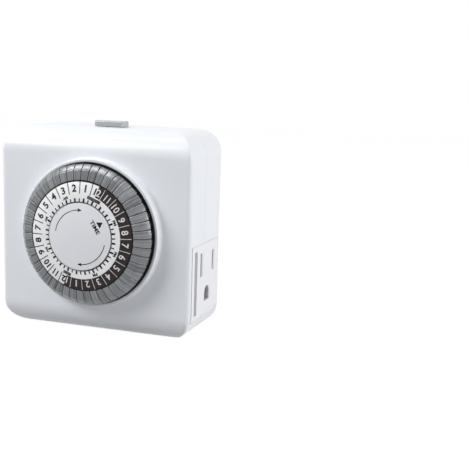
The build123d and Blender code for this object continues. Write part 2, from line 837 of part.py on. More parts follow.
# Snap switch housing, with two ears in front that hold the lever's pivot
ear_inner_x = lever_width / 2 + sliding_gap
ear_outer_x = ear_inner_x + lever_ear_thickness
ear_top = lever_pivot_height + lever_hub_radius
lever_back = switch_front - plunger_proud - sliding_gap
lever_front = lever_back - lever_thickness
lever_pivot_depth = lever_back - lever_pivot_room
with BuildPart() as switch_housing:
    with BuildSketch(plan_view(switch_middle - switch_height / 2)):
        with Locations((0, switch_front + switch_depth / 2)):
            Rectangle(switch_width, switch_depth)
    extrude(amount=switch_height)
    for side in (-1, 1):
        with BuildSketch(side_view(side * (ear_inner_x + ear_outer_x) / 2)):
            with BuildLine():
                Polyline(
                    (lever_pivot_depth - lever_hub_radius, lever_pivot_height - lever_hub_radius),
                    (lever_pivot_depth - lever_hub_radius, ear_top),
                    (switch_front + wall, ear_top),
                    (switch_front + wall, switch_top - clearance),
                    (switch_front - clearance, switch_top - clearance),
                    close=True,
                )
            make_face()
            with Locations((lever_pivot_depth, lever_pivot_height)):
                Circle(lever_pivot_radius, mode=Mode.SUBTRACT)
        extrude(amount=lever_ear_thickness / 2, both=True)
    with BuildSketch(front_view(switch_front)):
        with Locations((0, switch_middle)):
            Circle(plunger_radius + running_gap)
    extrude(amount=-(plunger_length - plunger_proud + clearance), mode=Mode.SUBTRACT)
finish(switch_housing.part, "switch_housing")

# Snap switch plunger, held in by the lever
with BuildPart() as switch_plunger:
    with BuildSketch(front_view(switch_front - plunger_proud)):
        with Locations((0, switch_middle)):
            Circle(plunger_radius)
    extrude(amount=-plunger_length)
    fillet(switch_plunger.faces().sort_by(Axis.Y)[0].edges(), plunger_round)
finish(switch_plunger.part, "switch_plunger")

# Lever pivot
with BuildPart() as lever_pivot:
    with BuildSketch(side_view(-ear_outer_x)):
        with Locations((lever_pivot_depth, lever_pivot_height)):
            Circle(lever_pivot_radius)
    extrude(amount=2 * ear_outer_x)
finish(lever_pivot.part, "lever_pivot")

# Switch lever: its nose lies behind the pins that are pushed in, its arm on the plunger and its tab
# on the slider's wedge
nose_front = foot_back + pin_travel + clearance
with BuildPart() as switch_lever:
    with BuildSketch(side_view(-lever_width / 2)):
        with Locations((lever_pivot_depth, lever_pivot_height)):
            Circle(lever_hub_radius)
        with BuildLine():
            Polyline(
                (lever_back, lever_pivot_height),
                (lever_back, nose_bottom),
                (nose_front, nose_bottom),
                (nose_front, nose_bottom + lever_nose_height),
                (lever_front, nose_bottom + lever_nose_height),
                (lever_front, lever_pivot_height),
                close=True,
            )
        make_face()
        with BuildLine():
            Polyline(
                (lever_back, lever_pivot_height),
                (lever_back, lever_pivot_height + lever_tab_length),
                (lever_front, lever_pivot_height + lever_tab_length),
                (lever_front, lever_pivot_height),
                close=True,
            )
        make_face()
        with Locations((lever_pivot_depth, lever_pivot_height)):
            Circle(lever_pivot_radius + running_gap, mode=Mode.SUBTRACT)
    extrude(amount=lever_width)
finish(switch_lever.part, "switch_lever")

# Lever spring: stands on the front cover's seat and pushes the tab back
spring_free = lever_front - spring_seat_depth - 2 * sliding_gap
with BuildPart() as lever_spring:
    with BuildLine() as coil:
        Helix(
            spring_free / spring_turns,
            spring_free,
            spring_radius,
            center=(0, front_y + spring_seat_depth + sliding_gap, spring_height),
            direction=(0, 1, 0),
        )
    with BuildSketch(Plane(origin=coil.line @ 0, z_dir=coil.line % 0)):
        Circle(spring_wire)
    sweep(is_frenet=True)
finish(lever_spring.part, "lever_spring")

# Switch terminals: three flat tabs out of the snap switch's back
line_strip_front = inner_back - blade_tail_length
switched_strip_front = line_strip_front - 4 * strip_thickness
switch_back = switch_front + switch_depth
with BuildPart() as switch_terminals:
    for place, back in (
        (-terminal_pitch, switch_back + 2 * terminal_width),
        (0, switched_strip_front),
        (terminal_pitch, line_strip_front),
    ):
        with BuildSketch(front_view(switch_back)):
            with Locations((place, switch_middle)):
                Rectangle(terminal_width, terminal_thickness)
        extrude(amount=-(back - switch_back))
finish(switch_terminals.part, "switch_terminals")

# Override slider: a knob on top, a neck through the wall, a plate under it and a wedge for the lever
knob_bottom = body_height + sliding_gap
wedge_contact = lever_back + sliding_gap
wedge_left = -lever_width / 2
wedge_slope = tan(radians(lever_swing)) * lever_tab_length / slide_travel
wedge_right = lever_width / 2 + slide_travel + clearance
with BuildPart() as override_slider:
    with BuildSketch(plan_view(knob_bottom)):
        with Locations((0, parting_depth)):
            Rectangle(knob_length, knob_width)
    extrude(amount=knob_height)
    fillet(override_slider.edges().filter_by(Axis.Z), knob_edge_radius)
    fillet(override_slider.faces().sort_by(Axis.Z)[-1].edges(), knob_edge_radius)
    with BuildSketch(plan_view(slider_plate_bottom)):
        with Locations((0, parting_depth)):
            Rectangle(slider_plate_length, slider_plate_width)
    extrude(amount=slider_plate_thickness)
    with BuildSketch(plan_view(slider_plate_top)):
        with Locations((0, parting_depth)):
            Rectangle(neck_length, neck_width)
    extrude(amount=knob_bottom - slider_plate_top)
    with BuildSketch(plan_view(slider_plate_bottom - wedge_height)):
        with BuildLine():
            Polyline(
                (wedge_left, wedge_contact),
                (wedge_right, wedge_contact + wedge_slope * (wedge_right - wedge_left)),
                (wedge_right, wedge_back),
                (wedge_left, wedge_back),
                close=True,
            )
        make_face()
    extrude(amount=wedge_height)
finish(override_slider.part, "override_slider")

# Outlet insert: the receptacle face in the window, its flange behind the wall, and pockets for contacts
insert_body_front = foot_back + pin_travel + 2 * clearance
insert_body_back = outlet_front + outlet_length - flange_lap
panel_front = outlet_front + bezel_width
outlet_middle = (panel_front + moat_width + outlet_front + outlet_length) / 2
line_slot_y = outlet_middle + blade_pitch / 2
neutral_slot_y = outlet_middle - blade_pitch / 2
slot_height = outlet_bottom + slot_rise
ground_z = slot_height - ground_drop
pocket_width = contact_gap + 2 * (contact_sheet + pocket_gap)
ground_pocket_width = ground_contact_gap + 2 * (contact_sheet + pocket_gap)
pocket_height = contact_width + 2 * pocket_gap
with BuildPart() as insert_face:
    with BuildSketch(side_view(side_x - wall)):
        with Locations((outlet_middle_y, outlet_middle_z)):
            Rectangle(outlet_length, outlet_height)
    extrude(amount=wall)
    add(housing_form(0), mode=Mode.INTERSECT)

with BuildPart() as outlet_insert:
    with BuildSketch(side_view(side_x - wall)):
        with Locations((outlet_middle_y, outlet_middle_z)):
            Rectangle(outlet_length + flange_lap, outlet_height + 2 * flange_lap)
    extrude(amount=-flange_thickness)
    with BuildSketch(side_view(insert_back_x)):
        with Locations(((insert_body_front + insert_body_back) / 2, outlet_middle_z)):
            Rectangle(insert_body_back - insert_body_front, outlet_height - 2 * flange_lap)
    extrude(amount=insert_reach - wall)
    add(housing_form(wall), mode=Mode.INTERSECT)
    add(insert_face.part)
    # the sunk line round the receptacle's panel, wide in front and fine on its other sides
    with BuildSketch(side_view(side_x)):
        with Locations((panel_front + moat_width / 2, outlet_middle_z)):
            Rectangle(moat_width, outlet_height - 2 * wall)
    extrude(amount=-moat_depth, mode=Mode.SUBTRACT)
    with BuildSketch(side_view(side_x)):
        with Locations((outlet_middle_y + bezel_width / 2, outlet_bottom + wall / 2)):
            Rectangle(outlet_length - 2 * bezel_width, panel_line)
    extrude(amount=-panel_line_depth, mode=Mode.SUBTRACT)
    # blade slots and the ground hole, with a round top and a flat bottom
    with BuildSketch(side_view(side_x)):
        with Locations((line_slot_y, slot_height)):
            Rectangle(slot_width, line_slot_length)
        with Locations((neutral_slot_y, slot_height)):
            Rectangle(slot_width, neutral_slot_length)
        with Locations((outlet_middle, ground_z)):
            Circle(ground_hole_width / 2)
        with Locations((outlet_middle, ground_z - ground_hole_height / 4)):
            Rectangle(ground_hole_width, ground_hole_height / 2)
    extrude(amount=-insert_reach, mode=Mode.SUBTRACT)
    # pockets behind the face for the contacts
    with BuildSketch(side_view(insert_back_x)):
        with Locations((line_slot_y, slot_height), (neutral_slot_y, slot_height)):
            Rectangle(pocket_width, pocket_height)
        with Locations((outlet_middle, ground_z)):
            Rectangle(ground_pocket_width, pocket_height)
    extrude(amount=contact_reach + pocket_gap, mode=Mode.SUBTRACT)
finish(outlet_insert.part, "outlet_insert")


def spring_contact(depth, height, gap, back_x):
    """A contact's sheet folded into a U that grips what is pushed in from the outlet's face."""
    with BuildPart() as contact:
        with BuildSketch(plan_view(height - contact_width / 2)):
            with Locations(((back_x + insert_back_x + contact_reach) / 2, depth)):
                Rectangle(insert_back_x + contact_reach - back_x, gap + 2 * contact_sheet)
            with Locations(((back_x + insert_back_x + contact_reach) / 2 + contact_sheet, depth)):
                Rectangle(insert_back_x + contact_reach - back_x, gap, mode=Mode.SUBTRACT)
        extrude(amount=contact_width)
    return contact.part


# The neutral and ground contacts reach further in, so that their strips pass the switched strip
switched_strip_x = insert_back_x - clearance - strip_thickness
straight_strip_x = switched_strip_x - clearance - 2 * strip_thickness
long_contact_x = straight_strip_x + strip_thickness
line_contact = spring_contact(line_slot_y, slot_height, contact_gap, switched_strip_x + strip_thickness)
finish(line_contact, "line_contact")
neutral_contact = spring_contact(neutral_slot_y, slot_height, contact_gap, long_contact_x)
finish(neutral_contact, "neutral_contact")
ground_contact = spring_contact(outlet_middle, ground_z, ground_contact_gap, long_contact_x)
finish(ground_contact, "ground_contact")

# Plug blades and the ground pin: each stands out of the rear wall, with a tail or a flange inside it
for name, (blade_x, blade_z) in zip(("neutral_blade", "line_blade"), blade_places):
    with BuildPart() as blade:
        with BuildSketch(front_view(inner_back)):
            with Locations((blade_x, blade_z)):
                Rectangle(blade_thickness, blade_width)
        extrude(amount=-(wall + blade_length))
        chamfer(blade.faces().sort_by(Axis.Y)[-1].edges().filter_by(Axis.X), blade_tip)
        with BuildSketch(front_view(inner_back)):
            with Locations((blade_x, blade_z)):
                Rectangle(blade_thickness, blade_tail_width)
        extrude(amount=blade_tail_length)
    finish(blade.part, name)

with BuildPart() as ground_pin:
    pin_tip = body_depth + ground_pin_length
    pin_section = half_section(
        *ground_place,
        [
            (inner_back - ground_flange_thickness, 0),
            (inner_back - ground_flange_thickness, ground_flange_radius),
            (inner_back, ground_flange_radius),
            (inner_back, ground_collar_radius),
            (body_depth, ground_collar_radius),
            (body_depth, ground_pin_radius),
            (pin_tip - ground_tip, ground_pin_radius),
            (pin_tip, ground_pin_radius - ground_tip),
            (pin_tip, 0),
        ],
    )
    revolve(pin_section, axis=line_through(*ground_place))
finish(ground_pin.part, "ground_pin")

# Line strip: from the line blade's tail up to the switch's common terminal
with BuildPart() as line_strip:
    with BuildSketch(front_view(line_strip_front)):
        with Locations((blade_pitch / 2, (plug_height + switch_middle) / 2)):
            Rectangle(strip_width, switch_middle - plug_height + strip_width)
        with Locations((blade_pitch / 2, plug_height)):
            Rectangle(blade_thickness, blade_tail_width, mode=Mode.SUBTRACT)
    extrude(amount=-strip_thickness)
finish(line_strip.part, "line_strip")

# Switched strip: from the switch to the outlet's line contact, bent forward beside the outlet
switched_run_z = switch_middle - switched_run_drop
with BuildPart() as switched_strip:
    with BuildSketch(front_view(switched_strip_front)):
        with Locations((0, (switched_run_z + switch_middle) / 2)):
            Rectangle(strip_width, switch_middle - switched_run_z + strip_width)
        with Locations(((switched_strip_x + strip_thickness - strip_width / 2) / 2, switched_run_z)):
            Rectangle(switched_strip_x + strip_thickness + strip_width / 2, strip_width)
    extrude(amount=-strip_thickness)
    with BuildSketch(side_view(switched_strip_x)):
        drop_y = switched_strip_front + strip_thickness - strip_width / 2
        with Locations((drop_y, (switched_run_z + slot_height) / 2)):
            Rectangle(strip_width, switched_run_z - slot_height + strip_width)
    extrude(amount=strip_thickness)
finish(switched_strip.part, "switched_strip")

# Neutral strip: from the neutral blade's tail across to the outlet's neutral contact
neutral_run_z = plug_height - neutral_run_drop
with BuildPart() as neutral_strip:
    with BuildSketch(front_view(line_strip_front)):
        with Locations((-blade_pitch / 2, (neutral_run_z + plug_height) / 2)):
            Rectangle(strip_width, plug_height - neutral_run_z + strip_width)
        with Locations(((straight_strip_x + strip_thickness - blade_pitch / 2) / 2, neutral_run_z)):
            Rectangle(straight_strip_x + strip_thickness + blade_pitch / 2, strip_width)
        with Locations((-blade_pitch / 2, plug_height)):
            Rectangle(blade_thickness, blade_tail_width, mode=Mode.SUBTRACT)
    extrude(amount=-strip_thickness)
    with BuildSketch(side_view(straight_strip_x)):
        with Locations(((neutral_slot_y + line_strip_front) / 2, neutral_run_z)):
            Rectangle(line_strip_front - neutral_slot_y + strip_width, strip_width)
        with Locations((neutral_slot_y, (neutral_run_z + slot_height) / 2)):
            Rectangle(strip_width, neutral_run_z - slot_height + strip_width)
    extrude(amount=strip_thickness)
finish(neutral_strip.part, "neutral_strip")

# Ground strip: from the ground pin's flange to the outlet's ground contact
ground_strip_front = inner_back - ground_flange_thickness - strip_thickness
ground_pin_z = plug_height - ground_drop
with BuildPart() as ground_strip:
    with BuildSketch(front_view(ground_strip_front)):
        with Locations((0, (ground_z + ground_pin_z) / 2)):
            Rectangle(strip_width, ground_pin_z - ground_z + strip_width)
        with Locations(((straight_strip_x + strip_thickness - strip_width / 2) / 2, ground_z)):
            Rectangle(straight_strip_x + strip_thickness + strip_width / 2, strip_width)
    extrude(amount=-strip_thickness)
    with BuildSketch(side_view(straight_strip_x)):
        with Locations(((outlet_middle + ground_strip_front) / 2, ground_z)):
            Rectangle(ground_strip_front - outlet_middle + strip_width, strip_width)
    extrude(amount=strip_thickness)
finish(ground_strip.part, "ground_strip")

# Motor leads: from the back of the motor's terminal block to the neutral strip and to the line strip
block_back = block_depth + terminal_block_depth / 2
lead_run = (line_strip_front - block_back) / 3
lead_start_z = block_top - terminal_block_height / 2
line_lead_z = (plug_height + blade_tail_width / 2 + switched_run_z - strip_width / 2) / 2
with BuildPart() as motor_leads:
    for lead_x, end_x, end_z in (
        (motor_x + lead_span, -blade_pitch / 2, neutral_run_z),
        (motor_x - lead_span, blade_pitch / 2, line_lead_z),
    ):
        with BuildLine() as route:
            FilletPolyline(
                (lead_x, front_y + block_back, lead_start_z),
                (lead_x, front_y + block_back + lead_run, lead_start_z),
                (end_x, front_y + line_strip_front - lead_run, end_z),
                (end_x, front_y + line_strip_front, end_z),
                radius=lead_run - clearance,
            )
        with BuildSketch(Plane(origin=route.line @ 0, z_dir=route.line % 0)):
            Circle(lead_radius)
        sweep(path=route.line)
finish(motor_leads.part, "motor_leads")
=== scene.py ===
# %% [markdown]
# # A plug-in timer switch
# A white plastic housing carries a 24-hour dial. The dial is ringed by grey pins that are pushed in for
# the hours when the outlet on the side should be live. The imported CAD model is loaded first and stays
# where it is: it is the frame that every nicer-looking piece is built around.

# %% Load the frame
import math

import bmesh
import bpy
import numpy as np
from mathutils import Matrix, Vector


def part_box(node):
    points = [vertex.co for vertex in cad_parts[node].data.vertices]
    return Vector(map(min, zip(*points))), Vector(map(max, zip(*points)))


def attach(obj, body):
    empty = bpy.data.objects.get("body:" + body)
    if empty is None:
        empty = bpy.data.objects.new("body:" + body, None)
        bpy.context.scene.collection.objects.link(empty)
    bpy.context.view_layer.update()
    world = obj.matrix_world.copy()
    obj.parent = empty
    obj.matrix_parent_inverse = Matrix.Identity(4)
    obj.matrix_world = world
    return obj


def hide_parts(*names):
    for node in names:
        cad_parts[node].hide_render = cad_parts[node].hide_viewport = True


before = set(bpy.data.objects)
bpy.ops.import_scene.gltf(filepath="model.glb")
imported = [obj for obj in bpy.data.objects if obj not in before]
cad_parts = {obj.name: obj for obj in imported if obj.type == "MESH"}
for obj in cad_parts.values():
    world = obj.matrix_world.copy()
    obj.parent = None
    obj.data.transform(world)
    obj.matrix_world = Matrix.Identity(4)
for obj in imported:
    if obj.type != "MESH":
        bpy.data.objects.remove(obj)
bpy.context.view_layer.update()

# %% [markdown]
# Everything below is worked out in millimetres and made metres when a mesh is built. Two facts place
# every piece: where the flat front of the housing is, and how high the dial's axis stands. Both are
# read from the boxes of CAD nodes. A depth is counted backwards from the flat front.

# %% Where the dial and the front are
MM = 0.001
COLLAR_PROUD = 3.4  # of the collar's lip ahead of the flat front
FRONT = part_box("front_cover")[0].y / MM + COLLAR_PROUD
disc_low, disc_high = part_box("centre_disc")
DIAL = (disc_low.z + disc_high.z) / 2 / MM
BODY = 78.4  # the housing's width and height
print("front at y", round(FRONT, 3), "dial axis at z", round(DIAL, 3))

# %% [markdown]
# ## Tools for building surfaces
# A surface is a grid of points with quads between them. Working out the whole grid as arrays keeps the
# formula in one place, and makes rounded edges a matter of adding rows where the shape turns.


# %% Grids, and putting them in the scene
def grid_faces(rows, columns, wrap_rows=False, wrap_columns=True):
    """Quads between the points of a grid, where point (i, j) has the number i * columns + j."""
    i = np.arange(rows if wrap_rows else rows - 1)
    j = np.arange(columns if wrap_columns else columns - 1)
    i, j = np.meshgrid(i, j, indexing="ij")
    i_next, j_next = (i + 1) % rows, (j + 1) % columns
    corners = [i * columns + j, i * columns + j_next, i_next * columns + j_next, i_next * columns + j]
    return np.stack(corners, axis=-1).reshape(-1, 4).tolist()


def join_parts(parts):
    """Several (points, faces) pairs as one, with the later faces' numbers moved on."""
    points, faces, start = [], [], 0
    for part_points, part_faces in parts:
        points.append(np.reshape(part_points, (-1, 3)))
        faces += [[start + n for n in face] for face in part_faces]
        start += len(points[-1])
    return np.concatenate(points), faces


def clean_mesh(name, points, faces, merge):
    """A mesh whose points are merged where they lie closer than merge, with its faces pointing outwards."""
    mesh = bpy.data.meshes.new(name)
    mesh.from_pydata(points.tolist(), [], faces)
    work = bmesh.new()
    work.from_mesh(mesh)
    bmesh.ops.remove_doubles(work, verts=work.verts, dist=merge)
    bmesh.ops.recalc_face_normals(work, faces=work.faces)
    work.to_mesh(mesh)
    work.free()
    return mesh


def mesh_arrays(mesh):
    """A mesh's points as an array with three columns, and its faces as lists of point numbers."""
    points = np.empty(len(mesh.vertices) * 3)
    mesh.vertices.foreach_get("co", points)
    return points.reshape(-1, 3), [list(polygon.vertices) for polygon in mesh.polygons]


def build(name, parts, material, body, crease=35.0, merge=1e-4):
    """Make one object of millimetre parts, at the origin. It is shaded smooth except across edges that
    turn by more than crease degrees."""
    points, faces = join_parts(parts)
    mesh = clean_mesh(name, points * MM, faces, merge * MM)
    mesh.shade_smooth()
    mesh.set_sharp_from_angle(angle=math.radians(crease))
    mesh.materials.append(material)
    piece = bpy.data.objects.new(name, mesh)
    bpy.context.scene.collection.objects.link(piece)
    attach(piece, body)
    return piece


# %% Rounded outlines and turned solids
AXIS = 0.001  # how near to its axis the outline of a full solid ends


def unit(vectors):
    """Each vector divided by its length."""
    return vectors / np.linalg.norm(vectors, axis=-1, keepdims=True)


def rounded(corners, radii, steps=5):
    """A closed outline whose corners are arcs. An arc's centre lies on the corner's bisector, the radius
    divided by the sine of half the corner's angle away, and its points turn evenly between the two
    places where it touches the straight sides."""
    corners = np.asarray(corners, float)
    radii = np.broadcast_to(radii, len(corners))[:, None]
    back = unit(np.roll(corners, 1, 0) - corners)
    ahead = unit(np.roll(corners, -1, 0) - corners)
    half = np.arccos(np.clip(np.sum(back * ahead, 1), -1, 1))[:, None] / 2
    centre = corners + unit(back + ahead) * radii / np.sin(half)
    start = corners + back * radii / np.tan(half) - centre
    end = corners + ahead * radii / np.tan(half) - centre
    first = np.arctan2(start[:, 1], start[:, 0])[:, None]
    sweep = (np.arctan2(end[:, 1], end[:, 0])[:, None] - first + np.pi) % (2 * np.pi) - np.pi
    turn = first + sweep * np.linspace(0, 1, steps)
    arcs = centre[:, None] + radii[:, None] * np.stack([np.cos(turn), np.sin(turn)], -1)
    return arcs.reshape(-1, 2)


def on_dial(radius, clock, depth):
    """Points about the dial's axis. The clock angle runs clockwise from straight up, so the sideways
    place is the radius times its sine, and the height the radius times its cosine."""
    radius, clock, depth = np.broadcast_arrays(radius, clock, depth)
    return np.stack([radius * np.sin(clock), FRONT + depth, DIAL + radius * np.cos(clock)], axis=-1)


def turned(outline, clocks, closed=False):
    """An outline of (radius, depth) points carried round the dial's axis through the clock angles. The
    outline may be one for all angles or one for each. An open solid gets a flat face at each end."""
    clocks = np.asarray(clocks, float)
    outline = np.broadcast_to(outline, (len(clocks),) + np.shape(outline)[-2:])
    count = outline.shape[1]
    points = on_dial(outline[..., 0], clocks[:, None], outline[..., 1])
    faces = grid_faces(len(clocks), count, wrap_rows=closed)
    if not closed:
        last = (len(clocks) - 1) * count
        faces += [list(range(count)), list(range(last, last + count))]
    return points, faces


FULL_TURN = np.linspace(0, 2 * np.pi, 144, endpoint=False)
print("a turned piece has", len(FULL_TURN), "sections")

# %% [markdown]
# ## Finishes
# Moulded plastic is never one flat colour: it varies a little in shade, its surface has a fine grain, and
# its gloss wanders. One helper builds that from noise on Object coordinates, so the pattern stays fixed to
# the piece and needs no unwrapping. What is the same all over is set on the shader itself.


# %% A helper for plastics and metals
def new_finish(name, colour, roughness, metallic=0.0, shift=0.03, shift_scale=60.0, grain=0.02,
               grain_scale=1800.0, gloss=0.05, stretch=(1, 1, 1), **sockets):
    """A material whose colour, gloss and fine relief each follow a noise. Shift is how far the colour
    moves either way, grain the height of the relief in tenths of a millimetre."""
    material = bpy.data.materials.new(name)
    material.use_nodes = True
    nodes, links = material.node_tree.nodes, material.node_tree.links
    shader = nodes["Principled BSDF"]
    shader.inputs["Metallic"].default_value = metallic
    for socket, value in sockets.items():
        shader.inputs[socket.replace("_", " ")].default_value = value
    place = nodes.new("ShaderNodeTexCoord")
    mapping = nodes.new("ShaderNodeMapping")
    mapping.inputs["Scale"].default_value = stretch
    links.new(place.outputs["Object"], mapping.inputs["Vector"])
    cloud = nodes.new("ShaderNodeTexNoise")
    cloud.inputs["Scale"].default_value = shift_scale
    cloud.inputs["Detail"].default_value = 4.0
    links.new(mapping.outputs["Vector"], cloud.inputs["Vector"])
    ramp = nodes.new("ShaderNodeValToRGB")
    ramp.color_ramp.elements[0].position, ramp.color_ramp.elements[1].position = 0.3, 0.7
    ramp.color_ramp.elements[0].color = [max(c * (1 - shift), 0) for c in colour] + [1]
    ramp.color_ramp.elements[1].color = [min(c * (1 + shift), 1) for c in colour] + [1]
    links.new(cloud.outputs["Fac"], ramp.inputs["Fac"])
    links.new(ramp.outputs["Color"], shader.inputs["Base Color"])
    sheen = nodes.new("ShaderNodeMapRange")
    sheen.inputs["To Min"].default_value = max(roughness - gloss, 0.02)
    sheen.inputs["To Max"].default_value = min(roughness + gloss, 1.0)
    links.new(cloud.outputs["Fac"], sheen.inputs["Value"])
    links.new(sheen.outputs["Result"], shader.inputs["Roughness"])
    fine = nodes.new("ShaderNodeTexNoise")
    fine.inputs["Scale"].default_value = grain_scale
    fine.inputs["Detail"].default_value = 2.0
    links.new(mapping.outputs["Vector"], fine.inputs["Vector"])
    bump = nodes.new("ShaderNodeBump")
    bump.inputs["Strength"].default_value = 0.5
    bump.inputs["Distance"].default_value = grain * 1e-4
    links.new(fine.outputs["Fac"], bump.inputs["Height"])
    links.new(bump.outputs["Normal"], shader.inputs["Normal"])
    return material


# %% Painted shade behind a face plate
def shade_inside(material, start=0.8, full=1.3, darkest=0.75):
    """Paint shade into a finish below the housing's right side, from start to full millimetres deep. It
    stands for the shade of the closed chambers behind the outlet's face, where no light comes back out."""
    nodes, links = material.node_tree.nodes, material.node_tree.links
    colour_input = nodes["Principled BSDF"].inputs["Base Color"]
    plain_colour = colour_input.links[0].from_socket
    place = nodes.new("ShaderNodeTexCoord")
    split = nodes.new("ShaderNodeSeparateXYZ")
    links.new(place.outputs["Object"], split.inputs["Vector"])
    fade = nodes.new("ShaderNodeMapRange")
    fade.inputs["From Min"].default_value = (BODY / 2 - full) * MM
    fade.inputs["From Max"].default_value = (BODY / 2 - start) * MM
    fade.inputs["To Min"].default_value = darkest
    links.new(split.outputs["X"], fade.inputs["Value"])
    dim = nodes.new("ShaderNodeVectorMath")
    dim.operation = "SCALE"
    links.new(plain_colour, dim.inputs["Vector"])
    links.new(fade.outputs["Result"], dim.inputs["Scale"])
    links.new(dim.outputs["Vector"], colour_input)


# %% The object's finishes
SHELL_WHITE = new_finish("shell_white", (0.84, 0.86, 0.89), 0.30, shift=0.008, grain=0.12, gloss=0.03)
OUTLET_WHITE = new_finish("outlet_white", (0.86, 0.86, 0.88), 0.34, shift=0.008, grain=0.1, gloss=0.03)
# The outlet's slots, ground hole and groove get painted shade deeper than 0.8 mm below its face.
shade_inside(OUTLET_WHITE)
DISC_GREY = new_finish("disc_grey", (0.83, 0.83, 0.86), 0.42, shift=0.02, grain=0.2)
LABEL_WHITE = new_finish("label_white", (0.90, 0.90, 0.90), 0.38, shift=0.01, grain=0.08)
# This black also serves as painted shade in the gaps at the number ring's edges.
INK_AND_SHADE_BLACK = new_finish("ink_and_gap_shade_black", (0.006, 0.006, 0.007), 0.5, shift=0.25, grain=0.1, Specular_IOR_Level=0.2)
INK_BROWN = new_finish("ink_brown_black", (0.022, 0.015, 0.014), 0.4, shift=0.25, grain=0.1,
                       Specular_IOR_Level=0.25)
INK_WHITE = new_finish("ink_white", (0.80, 0.78, 0.77), 0.42, shift=0.02, grain=0.1)
DRUM_BLACK = new_finish("drum_black", (0.012, 0.012, 0.013), 0.45, shift=0.2, grain=0.3)
SLIDER_GREY = new_finish("slider_grey", (0.36, 0.38, 0.39), 0.25, shift=0.05, grain=0.2, Coat_Weight=0.6,
                         Coat_Roughness=0.12)
GEAR_NYLON = new_finish("gear_nylon", (0.72, 0.70, 0.62), 0.42, shift=0.04, grain=0.2, Subsurface_Weight=0.1)
STEEL = new_finish("zinc_plated_steel", (0.62, 0.63, 0.64), 0.32, metallic=1.0, shift=0.08, grain=0.1,
                   stretch=(1, 1, 12), gloss=0.1)
BRASS = new_finish("brass", (0.78, 0.60, 0.30), 0.26, metallic=1.0, shift=0.10, grain=0.1,
                   stretch=(1, 10, 1), gloss=0.08)
WINDING = new_finish("coil_tape", (0.62, 0.42, 0.08), 0.38, shift=0.12, grain=0.4)
LEAD_RUBBER = new_finish("lead_insulation", (0.55, 0.56, 0.58), 0.5, shift=0.05, grain=0.2)
SWITCH_BLACK = new_finish("switch_phenolic", (0.02, 0.02, 0.022), 0.5, shift=0.3, grain=0.5)
SWITCH_RED = new_finish("plunger_red", (0.50, 0.03, 0.02), 0.35, shift=0.08, grain=0.1)
print("finishes made:", len(bpy.data.materials))

# %% [markdown]
# The pins are brushed-looking grey plastic: fine streaks run outwards from the dial's axis. A noise makes
# them if it is read in dial coordinates, with the clock angle stretched far and the radius hardly at all.

# %% How the pins stand round the dial
PIN_COUNT = 48
PIN_PITCH = 2 * np.pi / PIN_COUNT
MIDNIGHT = math.radians(21.0)  # clock angle of the middle of the midnight hour, between its two pins


# %% The pins' finish, streaked along the radius
def streaked_finish(name, dark, light, roughness, around=95.0, along=12.0, between=0.12, relief=6e-5):
    """Grey plastic with streaks along the radius: noise on (clock angle x around, radius x along), which
    also gives a relief in metres. Each pin is lighter by up to between, by a random value for the number
    of its step of PIN_PITCH."""
    material = bpy.data.materials.new(name)
    material.use_nodes = True
    nodes, links = material.node_tree.nodes, material.node_tree.links
    shader = nodes["Principled BSDF"]
    shader.inputs["Roughness"].default_value = roughness
    shader.inputs["Specular IOR Level"].default_value = 1.0
    place = nodes.new("ShaderNodeTexCoord")
    centre = nodes.new("ShaderNodeMapping")
    centre.inputs["Location"].default_value = (0, 0, -DIAL * MM)
    links.new(place.outputs["Object"], centre.inputs["Vector"])
    split = nodes.new("ShaderNodeSeparateXYZ")
    links.new(centre.outputs["Vector"], split.inputs["Vector"])

    def maths(operation, first, second):
        """A Math node on sockets or plain numbers."""
        node = nodes.new("ShaderNodeMath")
        node.operation = operation
        for value, socket in zip((first, second), node.inputs):
            if isinstance(value, (int, float)):
                socket.default_value = value
            else:
                links.new(value, socket)
        return node.outputs["Value"]

    clock = maths("ARCTAN2", split.outputs["X"], split.outputs["Z"])
    pin_number = maths("FLOOR", maths("DIVIDE", maths("SUBTRACT", clock, MIDNIGHT), PIN_PITCH), 0.0)
    random = nodes.new("ShaderNodeTexWhiteNoise")
    random.noise_dimensions = "1D"
    links.new(pin_number, random.inputs["W"])
    radius = nodes.new("ShaderNodeVectorMath")
    radius.operation = "LENGTH"
    links.new(centre.outputs["Vector"], radius.inputs[0])
    polar = nodes.new("ShaderNodeCombineXYZ")
    links.new(maths("MULTIPLY", clock, around), polar.inputs["X"])
    links.new(maths("MULTIPLY", radius.outputs["Value"], along), polar.inputs["Y"])
    streak = nodes.new("ShaderNodeTexNoise")
    streak.inputs["Scale"].default_value = 1.0
    streak.inputs["Detail"].default_value = 5.0
    streak.inputs["Roughness"].default_value = 0.65
    links.new(polar.outputs["Vector"], streak.inputs["Vector"])
    shade = maths("ADD", streak.outputs["Fac"], maths("MULTIPLY", random.outputs["Value"], between))
    ramp = nodes.new("ShaderNodeValToRGB")
    ramp.color_ramp.elements[0].position, ramp.color_ramp.elements[1].position = 0.40, 0.72
    ramp.color_ramp.elements[0].color = [*dark, 1]
    ramp.color_ramp.elements[1].color = [*light, 1]
    links.new(shade, ramp.inputs["Fac"])
    links.new(ramp.outputs["Color"], shader.inputs["Base Color"])
    bump = nodes.new("ShaderNodeBump")
    bump.inputs["Strength"].default_value = 0.6
    bump.inputs["Distance"].default_value = relief
    links.new(streak.outputs["Fac"], bump.inputs["Height"])
    links.new(bump.outputs["Normal"], shader.inputs["Normal"])
    return material


PIN_GREY = streaked_finish("pin_grey_streaked", (0.05, 0.055, 0.06), (0.295, 0.31, 0.325), 0.13)

# %% [markdown]
# ## Dress the CAD nodes
# Pieces whose shape is already right keep their CAD mesh and only get a finish. Most of them are inside
# the housing: the movement, the switch and the brass that joins them.

